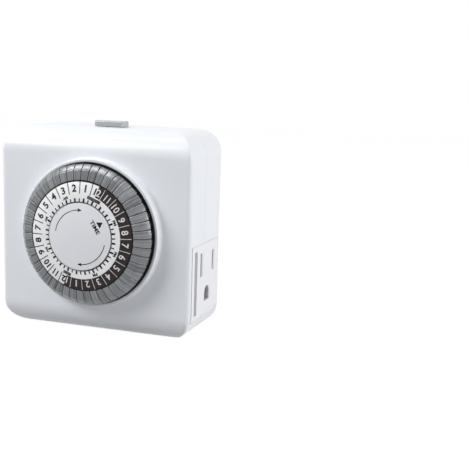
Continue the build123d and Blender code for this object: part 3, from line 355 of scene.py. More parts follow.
# %% Give each CAD node its finish
node_finishes = {
    SHELL_WHITE: ["front_cover", "rear_cover"],
    OUTLET_WHITE: ["outlet_insert"],
    DISC_GREY: ["centre_disc"],
    LABEL_WHITE: ["number_ring"],
    DRUM_BLACK: ["dial_drum"],
    SLIDER_GREY: ["override_slider"],
    PIN_GREY: [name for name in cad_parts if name.startswith("hour_pins")],
    GEAR_NYLON: ["intermediate_pinion", "intermediate_wheel", "motor_pinion", "switch_lever"],
    STEEL: ["housing_screws", "dial_post", "movement_plate", "plate_screws", "gear_shaft", "motor_case",
            "motor_screws", "lever_pivot", "lever_spring", "clutch_spring"],
    BRASS: ["switch_terminals", "line_contact", "neutral_contact", "ground_contact", "line_strip",
            "switched_strip", "neutral_strip", "ground_strip", "line_blade", "neutral_blade",
            "ground_pin"],
    WINDING: ["motor_coil"],
    LEAD_RUBBER: ["motor_leads"],
    SWITCH_BLACK: ["switch_housing"],
    SWITCH_RED: ["switch_plunger"],
}
dressed = set()
for material, names in node_finishes.items():
    for name in names:
        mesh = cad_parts[name].data
        mesh.materials.clear()
        mesh.materials.append(material)
        dressed.add(name)
print("dressed", len(dressed), "of", len(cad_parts), "nodes:", sorted(set(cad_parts) - dressed))

# %% [markdown]
# ## The front half of the housing
# The CAD model's shell is what three straight extrusions have in common, which leaves a crease at each
# front corner. A mould for a real one is polished until the rounds flow into each other. So the shell is
# made again as one grid that runs up the outside, over the front to the dial's collar, and back along
# the inside.

# %% Its sizes, in millimetres
HALF = BODY / 2
CORNER, BROW, SIDE_EDGE = 10.4, 10.0, 1.8  # radii of the outline's corners, the top and bottom, the sides
WALL, PARTING = 2.2, 15.5  # the wall's thickness, and the depth where the two halves meet
PARTING_BREAK = 0.12  # a fine chamfer that shows where they meet
INNER_EDGE = 0.3  # radius of the front edge inside
BORE, COLLAR, LIP_ROUND, ROOT_ROUND = 26.7, 28.0, 0.4, 0.5  # the collar's radii and its rounds
SIDE_ROWS = (0.03, 0.5, 0.95)  # shares of the way up the side
HOLD = 0.2  # a row this near to a round keeps the flat beside it evenly shaded
EDGE_STEPS, FRONT_STEPS, BEND_STEPS, INSIDE_STEPS = 9, 40, 6, 20  # rows over each stretch


# %% The surface as a formula
def housing_path(along=31, around=17):
    """Places on a square inside the housing's outline, and the direction outwards from each. The outline
    is a place plus the corner radius times its direction, and an inset outline takes a smaller radius."""
    turn = np.linspace(0, np.pi / 2, around)
    run = np.linspace(-1, 1, along + 2)[1:-1]
    side = (HALF - CORNER) * np.stack([np.ones(along), run], -1)
    place = np.concatenate([side, np.full((around, 2), HALF - CORNER)])
    direction = np.concatenate([np.tile([1.0, 0.0], (along, 1)), np.stack([np.cos(turn), np.sin(turn)], -1)])
    quarters = [np.linalg.matrix_power(np.array([[0, 1], [-1, 0]]), k) for k in range(4)]
    return np.concatenate([place @ q for q in quarters]), np.concatenate([direction @ q for q in quarters])


def front_depth(height, inset, brow, edge):
    """How far the surface lies behind the flat front. Towards the top and the bottom it falls away on the
    brow's radius, and near the outline on the edge's. The two falls are combined as the sides of a right
    triangle, so that they blend where they meet."""
    over = np.clip(np.abs(height - HALF) - (HALF - BROW), 0, brow)
    near = np.clip(edge - inset, 0, edge)
    return np.hypot(brow - np.sqrt(brow**2 - over**2), edge - np.sqrt(edge**2 - near**2))


def shell_row(flat, depth):
    """A row of points from (sideways, height) places and a depth, or a depth for each."""
    return np.stack([flat[:, 0], FRONT + np.broadcast_to(depth, len(flat)), flat[:, 1]], axis=-1)


# %% Lay the rows of the shell
place, direction = housing_path()
middle = np.array([0, HALF])


def inset_outline(inset):
    """The housing's outline drawn in by an inset, as (sideways, height) places."""
    return middle + place + direction * (CORNER - inset)


outside = inset_outline(0)
rim_depth = front_depth(outside[:, 1], 0, BROW, SIDE_EDGE)
side_depth = PARTING - PARTING_BREAK
rows = [shell_row(inset_outline(PARTING_BREAK), PARTING), shell_row(outside, side_depth)]
rows += [shell_row(outside, side_depth + share * (rim_depth - side_depth)) for share in SIDE_ROWS]
for inset in SIDE_EDGE * (1 - np.cos(np.linspace(0, np.pi / 2, EDGE_STEPS))):
    flat = inset_outline(inset)
    rows.append(shell_row(flat, front_depth(flat[:, 1], inset, BROW, SIDE_EDGE)))

dial_axis = np.array([0, DIAL])
spokes = unit(inset_outline(SIDE_EDGE) - dial_axis)


def collar_row(radius, depth):
    """A row that is a circle about the dial's axis."""
    return shell_row(dial_axis + spokes * radius, depth)


for share in np.linspace(0, 1, FRONT_STEPS)[1:]:
    flat = (1 - share) * inset_outline(SIDE_EDGE) + share * (dial_axis + spokes * (COLLAR + ROOT_ROUND))
    rows.append(shell_row(flat, front_depth(flat[:, 1], SIDE_EDGE, BROW, SIDE_EDGE)))
bend = np.linspace(0, np.pi / 2, BEND_STEPS)
lip = -COLLAR_PROUD + LIP_ROUND
rows += [collar_row(COLLAR + ROOT_ROUND * (1 - np.sin(a)), ROOT_ROUND * (np.cos(a) - 1)) for a in bend[1:]]
rows += [collar_row(COLLAR, depth) for depth in (-ROOT_ROUND - HOLD, lip + HOLD)]
rows += [collar_row(COLLAR - LIP_ROUND * (1 - np.cos(a)), lip - LIP_ROUND * np.sin(a)) for a in bend]
rows += [collar_row(BORE + LIP_ROUND * (1 - np.sin(a)), lip - LIP_ROUND * np.cos(a)) for a in bend]
rows += [collar_row(BORE, depth) for depth in (lip + HOLD, WALL - HOLD, WALL)]

for share in np.linspace(0, 1, INSIDE_STEPS)[1:]:
    flat = (1 - share) * (dial_axis + spokes * BORE) + share * inset_outline(WALL + INNER_EDGE)
    rows.append(shell_row(flat, WALL + front_depth(flat[:, 1], INNER_EDGE, BROW - WALL, INNER_EDGE)))
flat = inset_outline(WALL)
rows.append(shell_row(flat, WALL + front_depth(flat[:, 1], 0, BROW - WALL, INNER_EDGE)))
rows.append(shell_row(flat, PARTING))
shell = (np.concatenate(rows), grid_faces(len(rows), len(place), wrap_rows=True))
print("shell rows:", len(rows), "columns:", len(place))

# %% [markdown]
# The outlet's window and the slider's slot are cut with boxes, as a mould's side slides would form them.
# The screw bosses and posts inside are plain tubes that start within the front wall.


# %% Boxes to cut with, and tubes
def block(low, high):
    """A box between two corners, each (sideways, depth, height)."""
    share = np.array([[i, j, k] for i in (0, 1) for j in (0, 1) for k in (0, 1)])
    points = np.array(low) + share * (np.array(high) - np.array(low)) + np.array([0, FRONT, 0])
    return points, [[0, 1, 3, 2], [4, 6, 7, 5], [0, 4, 5, 1], [2, 3, 7, 6], [0, 2, 6, 4], [1, 5, 7, 3]]


def bored_post(place, radius, bore, front, bore_front, back, count=40):
    """A round post that points backwards, with a blind hole from its end: an outline of (radius, depth)
    carried round the post's own axis. The front end lies inside a wall."""
    sides, height = place
    outline = np.array([(AXIS, front), (radius, front), (radius, back), (bore, back), (bore, bore_front),
                        (AXIS, bore_front)])
    turn = np.linspace(0, 2 * np.pi, count, endpoint=False)[:, None]
    x, z = sides + outline[:, 0] * np.sin(turn), height + outline[:, 0] * np.cos(turn)
    y = FRONT + np.broadcast_to(outline[:, 1], x.shape)
    return np.stack([x, y, z], -1), grid_faces(count, len(outline), wrap_rows=True)


def cut(part, blocks):
    """The part with the blocks taken away by Boolean modifiers, as points in millimetres and faces."""
    def holder(name, points, faces):
        """An object for the modifiers to work on."""
        thing = bpy.data.objects.new(name, clean_mesh(name, np.reshape(points, (-1, 3)), faces, 1e-4))
        bpy.context.scene.collection.objects.link(thing)
        return thing

    target = holder("target", *part)
    cutters = [holder("cutter", *one) for one in blocks]
    for cutter in cutters:
        modifier = target.modifiers.new("cut", "BOOLEAN")
        modifier.operation, modifier.solver, modifier.object = "DIFFERENCE", "EXACT", cutter
    result = bpy.data.meshes.new_from_object(target.evaluated_get(bpy.context.evaluated_depsgraph_get()))
    for thing in [target, *cutters]:
        bpy.data.objects.remove(thing)
    return mesh_arrays(result)


# %% Cut the shell
WINDOW_FRONT, WINDOW_BOTTOM, WINDOW_TOP = 2.4, 7.4, 36.4  # the depth and the heights of the outlet's window
SLOT_LEFT, SLOT_RIGHT, SLOT_HALF = -5.8, 2.3, 1.8  # the slider's slot, which the parting line halves
window = block((HALF - 2 * WALL, WINDOW_FRONT, WINDOW_BOTTOM), (HALF + WALL, 2 * PARTING, WINDOW_TOP))
neck_slot = block((SLOT_LEFT, PARTING - SLOT_HALF, BODY - 2 * WALL),
                  (SLOT_RIGHT, PARTING + SLOT_HALF, BODY + WALL))
shell = cut(shell, [window, neck_slot])

# %% Stand its bosses, the movement's posts and the spring's seat
BOSS, BOSS_BORE = 3.3, 1.3  # radii
POST, POST_BORE, POST_BACK = 2.5, 1.0, 10.5  # radii, and the depth of the movement plate
POST_START, BORE_START = WALL - 0.6, 6.0  # a post starts within the wall, and its bore further back
POST_CIRCLE = 30.05  # distance of three posts from the dial's axis
SEAT, SEAT_HEIGHT, SEAT_DEPTHS = 1.9, 72.6, (2.4, 4.3, 4.4)
boss_places = [(-30.8, 70.0), (30.8, 70.0), (-30.8, 8.4), (13.0, 8.4)]  # (sideways, height)
post_turns = np.radians([154.0, 47.1])
post_places = [(POST_CIRCLE * math.cos(turn), DIAL + POST_CIRCLE * math.sin(turn)) for turn in post_turns]
low_side = 17.9  # the third post on the circle stands this far to the right, below the dial
post_places += [(-33.9, 14.8), (low_side, DIAL - math.sqrt(POST_CIRCLE**2 - low_side**2))]
parts = [shell]
parts += [bored_post(place, BOSS, BOSS_BORE, POST_START, BORE_START, PARTING) for place in boss_places]
parts += [bored_post(place, POST, POST_BORE, POST_START, BORE_START, POST_BACK) for place in post_places]
parts += [bored_post((0, SEAT_HEIGHT), SEAT, 2 * AXIS, *SEAT_DEPTHS)]  # as good as no bore
front_shell = build("housing_front", parts, SHELL_WHITE, "housing", crease=38)
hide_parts("front_cover")
print("front shell faces:", len(front_shell.data.polygons))

# %% [markdown]
# ## The outlet's face
# The outlet insert keeps its CAD shape, so it is cut rather than built again. Each opening gets the bevelled
# mouth that guides a plug in, and the groove beside the panel gets its full width. A cutter for a mouth is
# the opening's outline, grown towards the outside by as much as it has moved outwards.

# %% A cutter for a mouth
PAST = 0.2  # how far the cutter reaches out of the face


def mouth(outline, flare):
    """A cutter through the outlet's face that widens at 45 degrees, from an outline of (depth, height)."""
    low, high = outline.min(0), outline.max(0)
    middle, half = (low + high) / 2, (high - low) / 2
    rows = []
    for out, grown in ((-flare, 0.0), (PAST, flare + PAST)):
        flat = middle + (outline - middle) * (1 + grown / half)
        rows.append(np.stack([np.full(len(flat), HALF + out), FRONT + flat[:, 0], flat[:, 1]], axis=-1))
    count = len(outline)
    return np.concatenate(rows), grid_faces(2, count) + [list(range(count)), list(range(count, 2 * count))]


def rectangle(depth, height, width, tall):
    """The outline of an upright slot about its middle."""
    corners = np.array([(-1, -1), (1, -1), (1, 1), (-1, 1)])
    return np.array([depth, height]) + corners * np.array([width, tall]) / 2


BLADE_HEIGHT, BLADE_WIDTH, BLADE_FLARE = 28.0, 2.0, 0.45  # of the two upright slots
NEUTRAL_DEPTH, NEUTRAL_TALL, LINE_DEPTH, LINE_TALL = 13.1, 9.0, 25.8, 7.9
GROUND_DEPTH, GROUND_HEIGHT, GROUND_HALF, GROUND_FLARE = 19.45, 16.1, 2.8, 0.3
GROOVE_FRONT, GROOVE_BACK, GROOVE_BOTTOM, GROOVE_TOP, GROOVE_DEEP = 5.5, 8.3, 9.7, 34.1, 1.4

arch_turn = np.linspace(0, np.pi, 17)
arch = GROUND_HALF * np.stack([np.cos(arch_turn), np.sin(arch_turn)], -1)
feet = GROUND_HALF * np.array([(-1, -1), (1, -1)])
ground_outline = np.concatenate([arch, feet]) + np.array([GROUND_DEPTH, GROUND_HEIGHT])
openings = [
    mouth(rectangle(NEUTRAL_DEPTH, BLADE_HEIGHT, BLADE_WIDTH, NEUTRAL_TALL), BLADE_FLARE),
    mouth(rectangle(LINE_DEPTH, BLADE_HEIGHT, BLADE_WIDTH, LINE_TALL), BLADE_FLARE),
    mouth(ground_outline, GROUND_FLARE),
    block((HALF - GROOVE_DEEP, GROOVE_FRONT, GROOVE_BOTTOM), (HALF + 1, GROOVE_BACK, GROOVE_TOP)),
]

# %% Cut the outlet's face out of the CAD mesh
cad_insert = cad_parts["outlet_insert"]
points, faces = mesh_arrays(cad_insert.data)
turn, shift = np.array(cad_insert.matrix_world.to_3x3()), np.array(cad_insert.matrix_world.translation)
points = (points @ turn.T + shift) / MM
outlet_face = build("outlet_face", [cut((points, faces), openings)], OUTLET_WHITE, "housing")
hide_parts("outlet_insert")
print("outlet faces:", len(outlet_face.data.polygons))

# %% [markdown]
# ## The tripper pins
# Each pin's head is a wedge: nearly flat beside the number ring, then sloping down to the rim. Moulded
# edges are round, and that roundness is what catches the light between one pin and the next. So a head
# is its outline carried round the dial for a few degrees, and drawn in a little towards both ends.

# %% Sizes of a pin, in millimetres
PIN_GAP = 0.2
PIN_OUTLINE = [(20.6, -8.9), (24.3, -8.0), (26.3, -5.9), (26.3, -4.9), (20.6, -4.9)]  # (radius, depth)
EDGE = 0.22  # roundness of the head's edges
PIN_ROUNDS = [EDGE, 0.5, 0.4, EDGE, EDGE]  # at the corners of the outline
PIN_MIDDLE = 23.5  # the radius at which the gap between two pins is measured
STEM_RADII, STEM_HALF, STEM_FRONT, STEM_BACK = (22.4, 25.4), 0.7, -5.0, 3.9
RIDGE = [(24.8, 0.2), (26.0, 0.2), (25.4, 1.0), (24.8, 1.0)]  # the catch on a stem, (radius, depth)


def drawn_in(outline, amounts):
    """The outline made smaller about its middle by each amount, one outline for each."""
    low, high = outline.min(0), outline.max(0)
    middle, half = (low + high) / 2, (high - low) / 2
    scale = 1 - np.asarray(amounts)[:, None, None] / half
    return middle + (outline - middle) * scale


def pin_head(clock):
    """A head centred on a clock angle. Towards each end the angle approaches its limit as a sine and the
    outline is drawn in as one minus a cosine, which makes the end's edges quarter circles."""
    outline = rounded(PIN_OUTLINE, PIN_ROUNDS, steps=4)
    bend = np.linspace(0, np.pi / 2, 4)
    reach = PIN_PITCH / 2 - PIN_GAP / 2 / PIN_MIDDLE
    ends = reach - EDGE * (1 - np.sin(bend)) / PIN_MIDDLE
    drawn = EDGE * (1 - np.cos(bend))
    clocks = np.concatenate([-ends[::-1], [0], ends])
    return turned(drawn_in(outline, np.concatenate([drawn[::-1], [0], drawn])), clock + clocks)


def pin_stem(clock):
    """A flat stem and its catch ridge: two blocks as wide as the stem, on either side of the clock angle."""
    spread = STEM_HALF / np.mean(STEM_RADII)
    inner, outer = STEM_RADII
    stem = [(inner, STEM_FRONT), (outer, STEM_FRONT), (outer, STEM_BACK), (inner, STEM_BACK)]
    clocks = clock + np.array([-spread, spread])
    return [turned(np.array(stem, float), clocks), turned(np.array(RIDGE), clocks)]


# %% Build the pins, two to an hour
for hour in range(24):
    name = f"hour_pins_{hour + 1:02d}"
    middle = MIDNIGHT - 2 * PIN_PITCH * hour
    parts = []
    for half in (-0.5, 0.5):
        parts += [pin_head(middle + half * PIN_PITCH), *pin_stem(middle + half * PIN_PITCH)]
    pins = build(f"tripper_{name}", parts, PIN_GREY, name, crease=50)
    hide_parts(name)
print("pins:", PIN_COUNT, "faces in one hour's pair:", len(pins.data.polygons))

# %% [markdown]
# ## The number ring, its print and the painted shade at its edges
# The ring is a washer that rises a little towards its bore. Its print is ink a few hundredths of a
# millimetre thick: a dark band for the hours after noon, lines between the hours, and a bar for each half
# hour. A dark line of the same black runs round both edges: painted shade for the narrow gaps beside
# the ring. Ink is built as thin solids, because an edge made of geometry stays sharp at any size.

# %% The ring itself
RING_BORE, RING_EDGE, RING_THICK = 12.75, 20.4, 0.8
RING_FRONT, RING_RISE = -9.0, 1.2  # the depth of its edge, and how far its bore stands ahead of that
RING_ROUND = 0.08  # softness of its edges
INK = 0.02  # thickness of a layer of print


def ring_surface(radius):
    """The depth of the ring's face, which rises evenly from its edge to its bore."""
    return RING_FRONT - RING_RISE * (RING_EDGE - radius) / (RING_EDGE - RING_BORE)


ring_corners = [(RING_BORE, RING_FRONT - RING_RISE), (RING_EDGE, RING_FRONT),
                (RING_EDGE, RING_FRONT + RING_THICK), (RING_BORE, RING_FRONT - RING_RISE + RING_THICK)]
ring_outline = rounded(ring_corners, RING_ROUND, steps=3)
number_ring = build("scale_ring", [turned(ring_outline, FULL_TURN, closed=True)], LABEL_WHITE, "dial")
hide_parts("number_ring")

# %% Ink: a flat figure laid on the dial
PRINTED = {"crease": 60, "merge": 1e-6}  # for build: so fine a merge keeps the letters' close points


def laid(flat, lift, surface):
    """Points on the dial from (sideways, upward) places about its axis. Each lies lift in front of the
    surface, whose depth depends on the place's distance from the axis."""
    depth = surface(np.hypot(flat[:, 0], flat[:, 1])) - lift
    return np.stack([flat[:, 0], FRONT + depth, DIAL + flat[:, 1]], axis=-1)


def facing_out(figure, clock):
    """A figure of (sideways, outward) points turned to a clock angle, its top away from the axis."""
    across, out = figure[:, 0], figure[:, 1]
    return np.stack([across * np.cos(clock) + out * np.sin(clock),
                     out * np.cos(clock) - across * np.sin(clock)], axis=-1)


def ink_loop(flat, surface, layer=1):
    """A closed outline as a thin prism. Layer 2 lies on top of ink that is already there."""
    count = len(flat)
    points = np.concatenate([laid(flat, (layer - 1.5) * INK, surface), laid(flat, layer * INK, surface)])
    return points, grid_faces(2, count) + [list(range(count)), list(range(count, 2 * count))]


def ink_bars(inner, outer, width, clocks, surface, layer=1):
    """Straight bars along the radius, one at each clock angle."""
    bar = np.array([(-width / 2, inner), (width / 2, inner), (width / 2, outer), (-width / 2, outer)])
    return [ink_loop(facing_out(bar, clock), surface, layer) for clock in clocks]


def ink_arc(inner, outer, first, last, surface, layer=1, step=0.03):
    """A strip between two radii and two clock angles, in steps of about step radians. It is a grid of
    four rows about its cross-section."""
    clocks = np.linspace(first, last, max(int(abs(last - first) / step), 2))
    ring = np.stack([np.sin(clocks), np.cos(clocks)], axis=-1)
    low, high = (layer - 1.5) * INK, layer * INK
    rows = [laid(ring * inner, low, surface), laid(ring * outer, low, surface),
            laid(ring * outer, high, surface), laid(ring * inner, high, surface)]
    count = len(clocks)
    ends = [[0, count, 2 * count, 3 * count], [n * count - 1 for n in (1, 2, 3, 4)]]
    return np.concatenate(rows), grid_faces(4, count, wrap_rows=True, wrap_columns=False) + ends


# %% Letters and numbers
def letters(text, height, length=None, weight=0.0):
    """A text as a thin solid, centred and scaled to a height and perhaps a length in millimetres. The
    weight thickens its strokes, as a share of the type size. The third coordinate runs from 0 to 1."""
    curve = bpy.data.curves.new("letters", "FONT")
    curve.body = text
    curve.offset = weight
    curve.extrude = 0.5
    curve.resolution_u = 3
    holder = bpy.data.objects.new("letters", curve)
    mesh = bpy.data.meshes.new_from_object(holder)
    points, faces = mesh_arrays(mesh)
    bpy.data.objects.remove(holder)
    bpy.data.curves.remove(curve)
    bpy.data.meshes.remove(mesh)
    low, high = points.min(0), points.max(0)
    tall = height / (high[1] - low[1])
    wide = length / (high[0] - low[0]) if length else tall
    return (points - (low + high) / 2) * np.array([wide, tall, 1]) + np.array([0, 0, 0.5]), faces


def ink_letters(text, height, clock, radius, surface, layer=1, side=0.0, **looks):
    """Letters standing on the dial with their tops outwards."""
    points, faces = letters(text, height, **looks)
    flat = facing_out(points[:, :2] + np.array([side, radius]), clock)
    return laid(flat, (layer - 1.5 + 1.5 * points[:, 2]) * INK, surface), faces


# %% Where the band, the lines, the bars and the painted edge shade lie, as (inner radius, outer radius)
HOUR = 2 * PIN_PITCH
NOON = MIDNIGHT + np.pi
BAND, BORE_SHADE_LINE, EDGE_SHADE_LINE = (15.95, 20.34), (12.77, 12.95), (20.15, 20.43)
HOUR_LINE, BAND_LINE = (15.8, 20.3), (15.92, 20.12)
HOUR_BAR, HALF_BAR = (12.85, 14.25), (12.85, 14.1)
HOUR_LINE_WIDTH, BAND_LINE_WIDTH, HOUR_BAR_WIDTH, HALF_BAR_WIDTH = 0.32, 0.20, 0.70, 0.45

# %% Print the dark band, the lines and the bars, and paint shade along the ring's edges
band = build("afternoon_band", [ink_arc(*BAND, MIDNIGHT, NOON, ring_surface)], INK_BROWN, "dial")

hour_lines = MIDNIGHT + HOUR * (np.arange(24) + 0.5)  # clockwise, so the afternoon hours come first
half_marks = MIDNIGHT + PIN_PITCH * np.arange(PIN_COUNT)
ring_ink_and_shade_parts = [
    *ink_bars(*HOUR_LINE, HOUR_LINE_WIDTH, hour_lines[12:], ring_surface),
    *ink_bars(*HOUR_BAR, HOUR_BAR_WIDTH, half_marks[::2], ring_surface),
    *ink_bars(*HALF_BAR, HALF_BAR_WIDTH, half_marks[1::2], ring_surface),
    # a dark ring at the bore: painted shade for the gap beside the centre disc
    ink_arc(*BORE_SHADE_LINE, 0, 2 * np.pi - 0.001, ring_surface),
]
# A dark sheath over the ring's outer edge, down to half its thickness: painted shade for the gap beside the
# pins.
(inner, outer), back = EDGE_SHADE_LINE, RING_FRONT + RING_THICK / 2
edge_shade_outline = [(inner, ring_surface(inner) - INK), (outer, RING_FRONT - INK), (outer, back), (inner, back)]
ring_ink_and_shade_parts.append(turned(edge_shade_outline, FULL_TURN, closed=True))
white_parts = ink_bars(*BAND_LINE, BAND_LINE_WIDTH, hour_lines[:12], ring_surface, layer=2)

# %% Print the numbers
NUMBER_RADIUS, DARK_HEIGHT, WHITE_HEIGHT = 17.85, 2.75, 2.6
DARK_WEIGHT, WHITE_WEIGHT = 0.034, 0.014  # white print on a dark ground looks heavier than it is
NUMBER_LENGTHS = {"10": 2.7, "11": 1.9}
TWELVE = (("1", -0.7), ("2", 0.75))  # its figures, and how far each stands from the middle


def print_number(text, height, clock, white, **looks):
    """Put a number on the ring: white ink lies on top of the dark band."""
    figures = ink_letters(text, height, clock, NUMBER_RADIUS, ring_surface, layer=2 if white else 1,
                          weight=WHITE_WEIGHT if white else DARK_WEIGHT, **looks)
    (white_parts if white else ring_ink_and_shade_parts).append(figures)


for hour in range(24):
    clock, afternoon = MIDNIGHT - HOUR * hour, hour > 12
    if hour % 12:
        number = str(hour % 12)
        print_number(number, WHITE_HEIGHT if afternoon else DARK_HEIGHT, clock, afternoon,
                     length=NUMBER_LENGTHS.get(number))
    else:  # the band's edge runs between the two figures, and one of them is white
        for (figure, side), white in zip(TWELVE, (False, True) if hour == 0 else (True, False)):
            print_number(figure, WHITE_HEIGHT, clock, white, side=side)

# %% Print the small words
HALF_DAY_RADIUS, HALF_DAY_SIZE, HALF_DAY_WEIGHT = 15.0, (1.15, 2.0), 0.05  # the size is height, length
PLATE_WORDS = [("MIDNIGHT", 5.4, MIDNIGHT, 14.85), ("NOON", 3.2, NOON, 15.1)]  # length, clock angle, radius
PLATE_HALF, PLATE_LETTER, PLATE_MARGIN, PLATE_WEIGHT = 0.58, 0.5, 0.5, -0.035
height, length = HALF_DAY_SIZE
for hour in (3, 6, 9, 15, 18, 21):
    word, clock = "AM" if hour < 12 else "PM", MIDNIGHT - HOUR * hour
    ring_ink_and_shade_parts.append(ink_letters(word, height, clock, HALF_DAY_RADIUS, ring_surface, length=length,
                                   weight=HALF_DAY_WEIGHT))
plates = []
for word, length, clock, radius in PLATE_WORDS:
    plate = np.array([(-1, -1), (1, -1), (1, 1), (-1, 1)]) * np.array([length / 2, PLATE_HALF])
    plates.append(ink_loop(facing_out(plate + np.array([0, radius]), clock), ring_surface, layer=2))
    white_parts.append(ink_letters(word, PLATE_LETTER, clock, radius, ring_surface, layer=3,
                                   length=length - 2 * PLATE_MARGIN, weight=PLATE_WEIGHT))
# The black object holds the real print together with the painted shade at the ring's edges.
ring_ink_and_shade = build("scale_black_ink_and_gap_shade", ring_ink_and_shade_parts, INK_AND_SHADE_BLACK, "dial", **PRINTED)
plate_print = build("scale_word_blocks", plates, INK_BROWN, "dial", **PRINTED)
white_print = build("scale_white_print", white_parts, INK_WHITE, "dial", **PRINTED)
print("printed faces:", len(ring_ink_and_shade.data.polygons) + len(white_print.data.polygons))

# %% [markdown]
# ## The centre disc
# The disc stands still while the ring turns round it. A pointer on it shows the time, and two arrows show
# which way the dial is turned by hand. It is a plain turned piece with a soft edge.

# %% The disc
DISC_FRONT, DISC_BACK, DISC_RADIUS = -10.48, -8.5, 12.45
DISC_ROUND = 0.15  # softness of its edge
disc_corners = [(AXIS, DISC_FRONT), (DISC_RADIUS, DISC_FRONT), (DISC_RADIUS, DISC_BACK), (AXIS, DISC_BACK)]
disc_outline = rounded(disc_corners, [0.4 * AXIS, DISC_ROUND, DISC_ROUND, 0.4 * AXIS], steps=5)
centre_disc = build("centre_disc_face", [turned(disc_outline, FULL_TURN, closed=True)], DISC_GREY,
                    "housing", merge=0.01)
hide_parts("centre_disc")


def disc_surface(radius):
    """The depth of the disc's face, which is flat."""
    return np.full_like(radius, DISC_FRONT)


# %% The arrows, the pointer and its word
ARROW_LINE, HEAD_LENGTH, HEAD_WIDTH = 0.30, 1.65, 1.35
ARROWS = [(9.9, -81.0, 5.5), (10.3, 102.0, 185.0)]  # radius, and the clock angles of its tail and its tip
POINTER, POINTER_FOOT, POINTER_TIP, POINTER_HALF = math.radians(57), 8.85, 11.1, 1.3
WORD_RADIUS, WORD_HEIGHT, WORD_LENGTH, WORD_WEIGHT = 7.4, 1.6, 5.6, 0.028
disc_parts = []
for radius, tail, tip in ARROWS:
    tail, tip = math.radians(tail), math.radians(tip)
    neck = tip - HEAD_LENGTH / radius
    disc_parts.append(ink_arc(radius - ARROW_LINE / 2, radius + ARROW_LINE / 2, tail, neck, disc_surface))
    ends = [(radius - HEAD_WIDTH / 2, neck), (radius, tip), (radius + HEAD_WIDTH / 2, neck)]
    head = np.array([(r * math.sin(a), r * math.cos(a)) for r, a in ends])
    disc_parts.append(ink_loop(head, disc_surface))
pointer = np.array([(-POINTER_HALF, POINTER_FOOT), (POINTER_HALF, POINTER_FOOT), (0.0, POINTER_TIP)])
disc_parts.append(ink_loop(facing_out(pointer, POINTER), disc_surface))
disc_parts.append(ink_letters("TIME", WORD_HEIGHT, POINTER, WORD_RADIUS, disc_surface, length=WORD_LENGTH,
                              weight=WORD_WEIGHT))
disc_print = build("disc_print", disc_parts, INK_AND_SHADE_BLACK, "housing", **PRINTED)
print("disc print faces:", len(disc_print.data.polygons))

# %% [markdown]
# ## Camera
# The camera stands to the right of the object and a little above it, and looks slightly down. It has a
# long lens, as product pictures do, so that the housing's sides stay nearly parallel.

# %% Place the camera
YAW, PITCH, ROLL = math.radians(17.832), math.radians(10.009), math.radians(1.876)
SENSOR, PICTURE, FOCAL = 36.0, 470, 883.6  # the sensor in millimetres, the picture and the focus in pixels
LENS = FOCAL * SENSOR / PICTURE
AIM_HEIGHT = 38.0  # of a point on the front
TO_RIGHT, TO_UP, DISTANCE = 53.552, 0.464, 332.547  # from that point to the eye
ahead = Vector((-math.sin(YAW) * math.cos(PITCH), math.cos(YAW) * math.cos(PITCH), -math.sin(PITCH)))
level_right = Vector((math.cos(YAW), math.sin(YAW), 0))
level_up = level_right.cross(ahead)
right = level_right * math.cos(ROLL) + level_up * math.sin(ROLL)
up = level_up * math.cos(ROLL) - level_right * math.sin(ROLL)
aim = Vector((0, FRONT, AIM_HEIGHT))
eye = aim + right * TO_RIGHT + up * TO_UP - ahead * DISTANCE
camera = bpy.data.objects.new("camera", bpy.data.cameras.new("camera"))
camera.data.lens, camera.data.sensor_width = LENS, SENSOR
camera.data.clip_start, camera.data.clip_end = 0.01, 20
turn = Matrix((right, up, -ahead)).transposed()
camera.matrix_world = Matrix.Translation(eye * MM) @ turn.to_4x4()
bpy.context.scene.collection.objects.link(camera)
bpy.context.scene.camera = camera
print("camera at", [round(v, 3) for v in camera.location], "lens", round(LENS, 2))

# %% [markdown]
# ## Floor, backdrop and light
# The picture has a clean white ground. White comes from what the camera sees of the floor and the world,
# not from more light, so the plastic keeps its own shade. The floor still takes the object's shadow. The
# light itself is a soft dome, brighter overhead, and three lamps.


# %% Which rays see the ground directly
def seen_directly(nodes, links):
    """1 for rays from the camera and rays that were reflected or bent by glossy or clear surfaces."""
    path = nodes.new("ShaderNodeLightPath")
    total = nodes.new("ShaderNodeMath")
    total.operation = "MAXIMUM"
    glossy = nodes.new("ShaderNodeMath")
    glossy.operation = "MAXIMUM"
    links.new(path.outputs["Is Glossy Ray"], glossy.inputs[0])
    links.new(path.outputs["Is Transmission Ray"], glossy.inputs[1])
    links.new(path.outputs["Is Camera Ray"], total.inputs[0])
    links.new(glossy.outputs["Value"], total.inputs[1])
    return total.outputs["Value"]


# %% The world: white where it is seen, a soft cool dome where it lights
SKY_COLOUR = (0.93, 0.95, 1.0, 1)
SKY_LEVEL, SKY_TOP = 0.28, 0.34  # the dome's strength at the horizon and overhead
world = bpy.data.worlds.new("studio")
world.use_nodes = True
bpy.context.scene.world = world
nodes, links = world.node_tree.nodes, world.node_tree.links
nodes["Background"].inputs["Color"].default_value = (1, 1, 1, 1)
nodes["Background"].inputs["Strength"].default_value = 1.0
soft = nodes.new("ShaderNodeBackground")
soft.inputs["Color"].default_value = SKY_COLOUR
upwards = nodes.new("ShaderNodeTexCoord")
height = nodes.new("ShaderNodeSeparateXYZ")
links.new(upwards.outputs["Generated"], height.inputs["Vector"])
dome = nodes.new("ShaderNodeMapRange")
dome.inputs["To Min"].default_value, dome.inputs["To Max"].default_value = SKY_LEVEL, SKY_TOP
links.new(height.outputs["Z"], dome.inputs["Value"])
links.new(dome.outputs["Result"], soft.inputs["Strength"])
mix = nodes.new("ShaderNodeMixShader")
links.new(seen_directly(nodes, links), mix.inputs["Fac"])
links.new(soft.outputs["Background"], mix.inputs[1])
links.new(nodes["Background"].outputs["Background"], mix.inputs[2])
links.new(mix.outputs["Shader"], nodes["World Output"].inputs["Surface"])

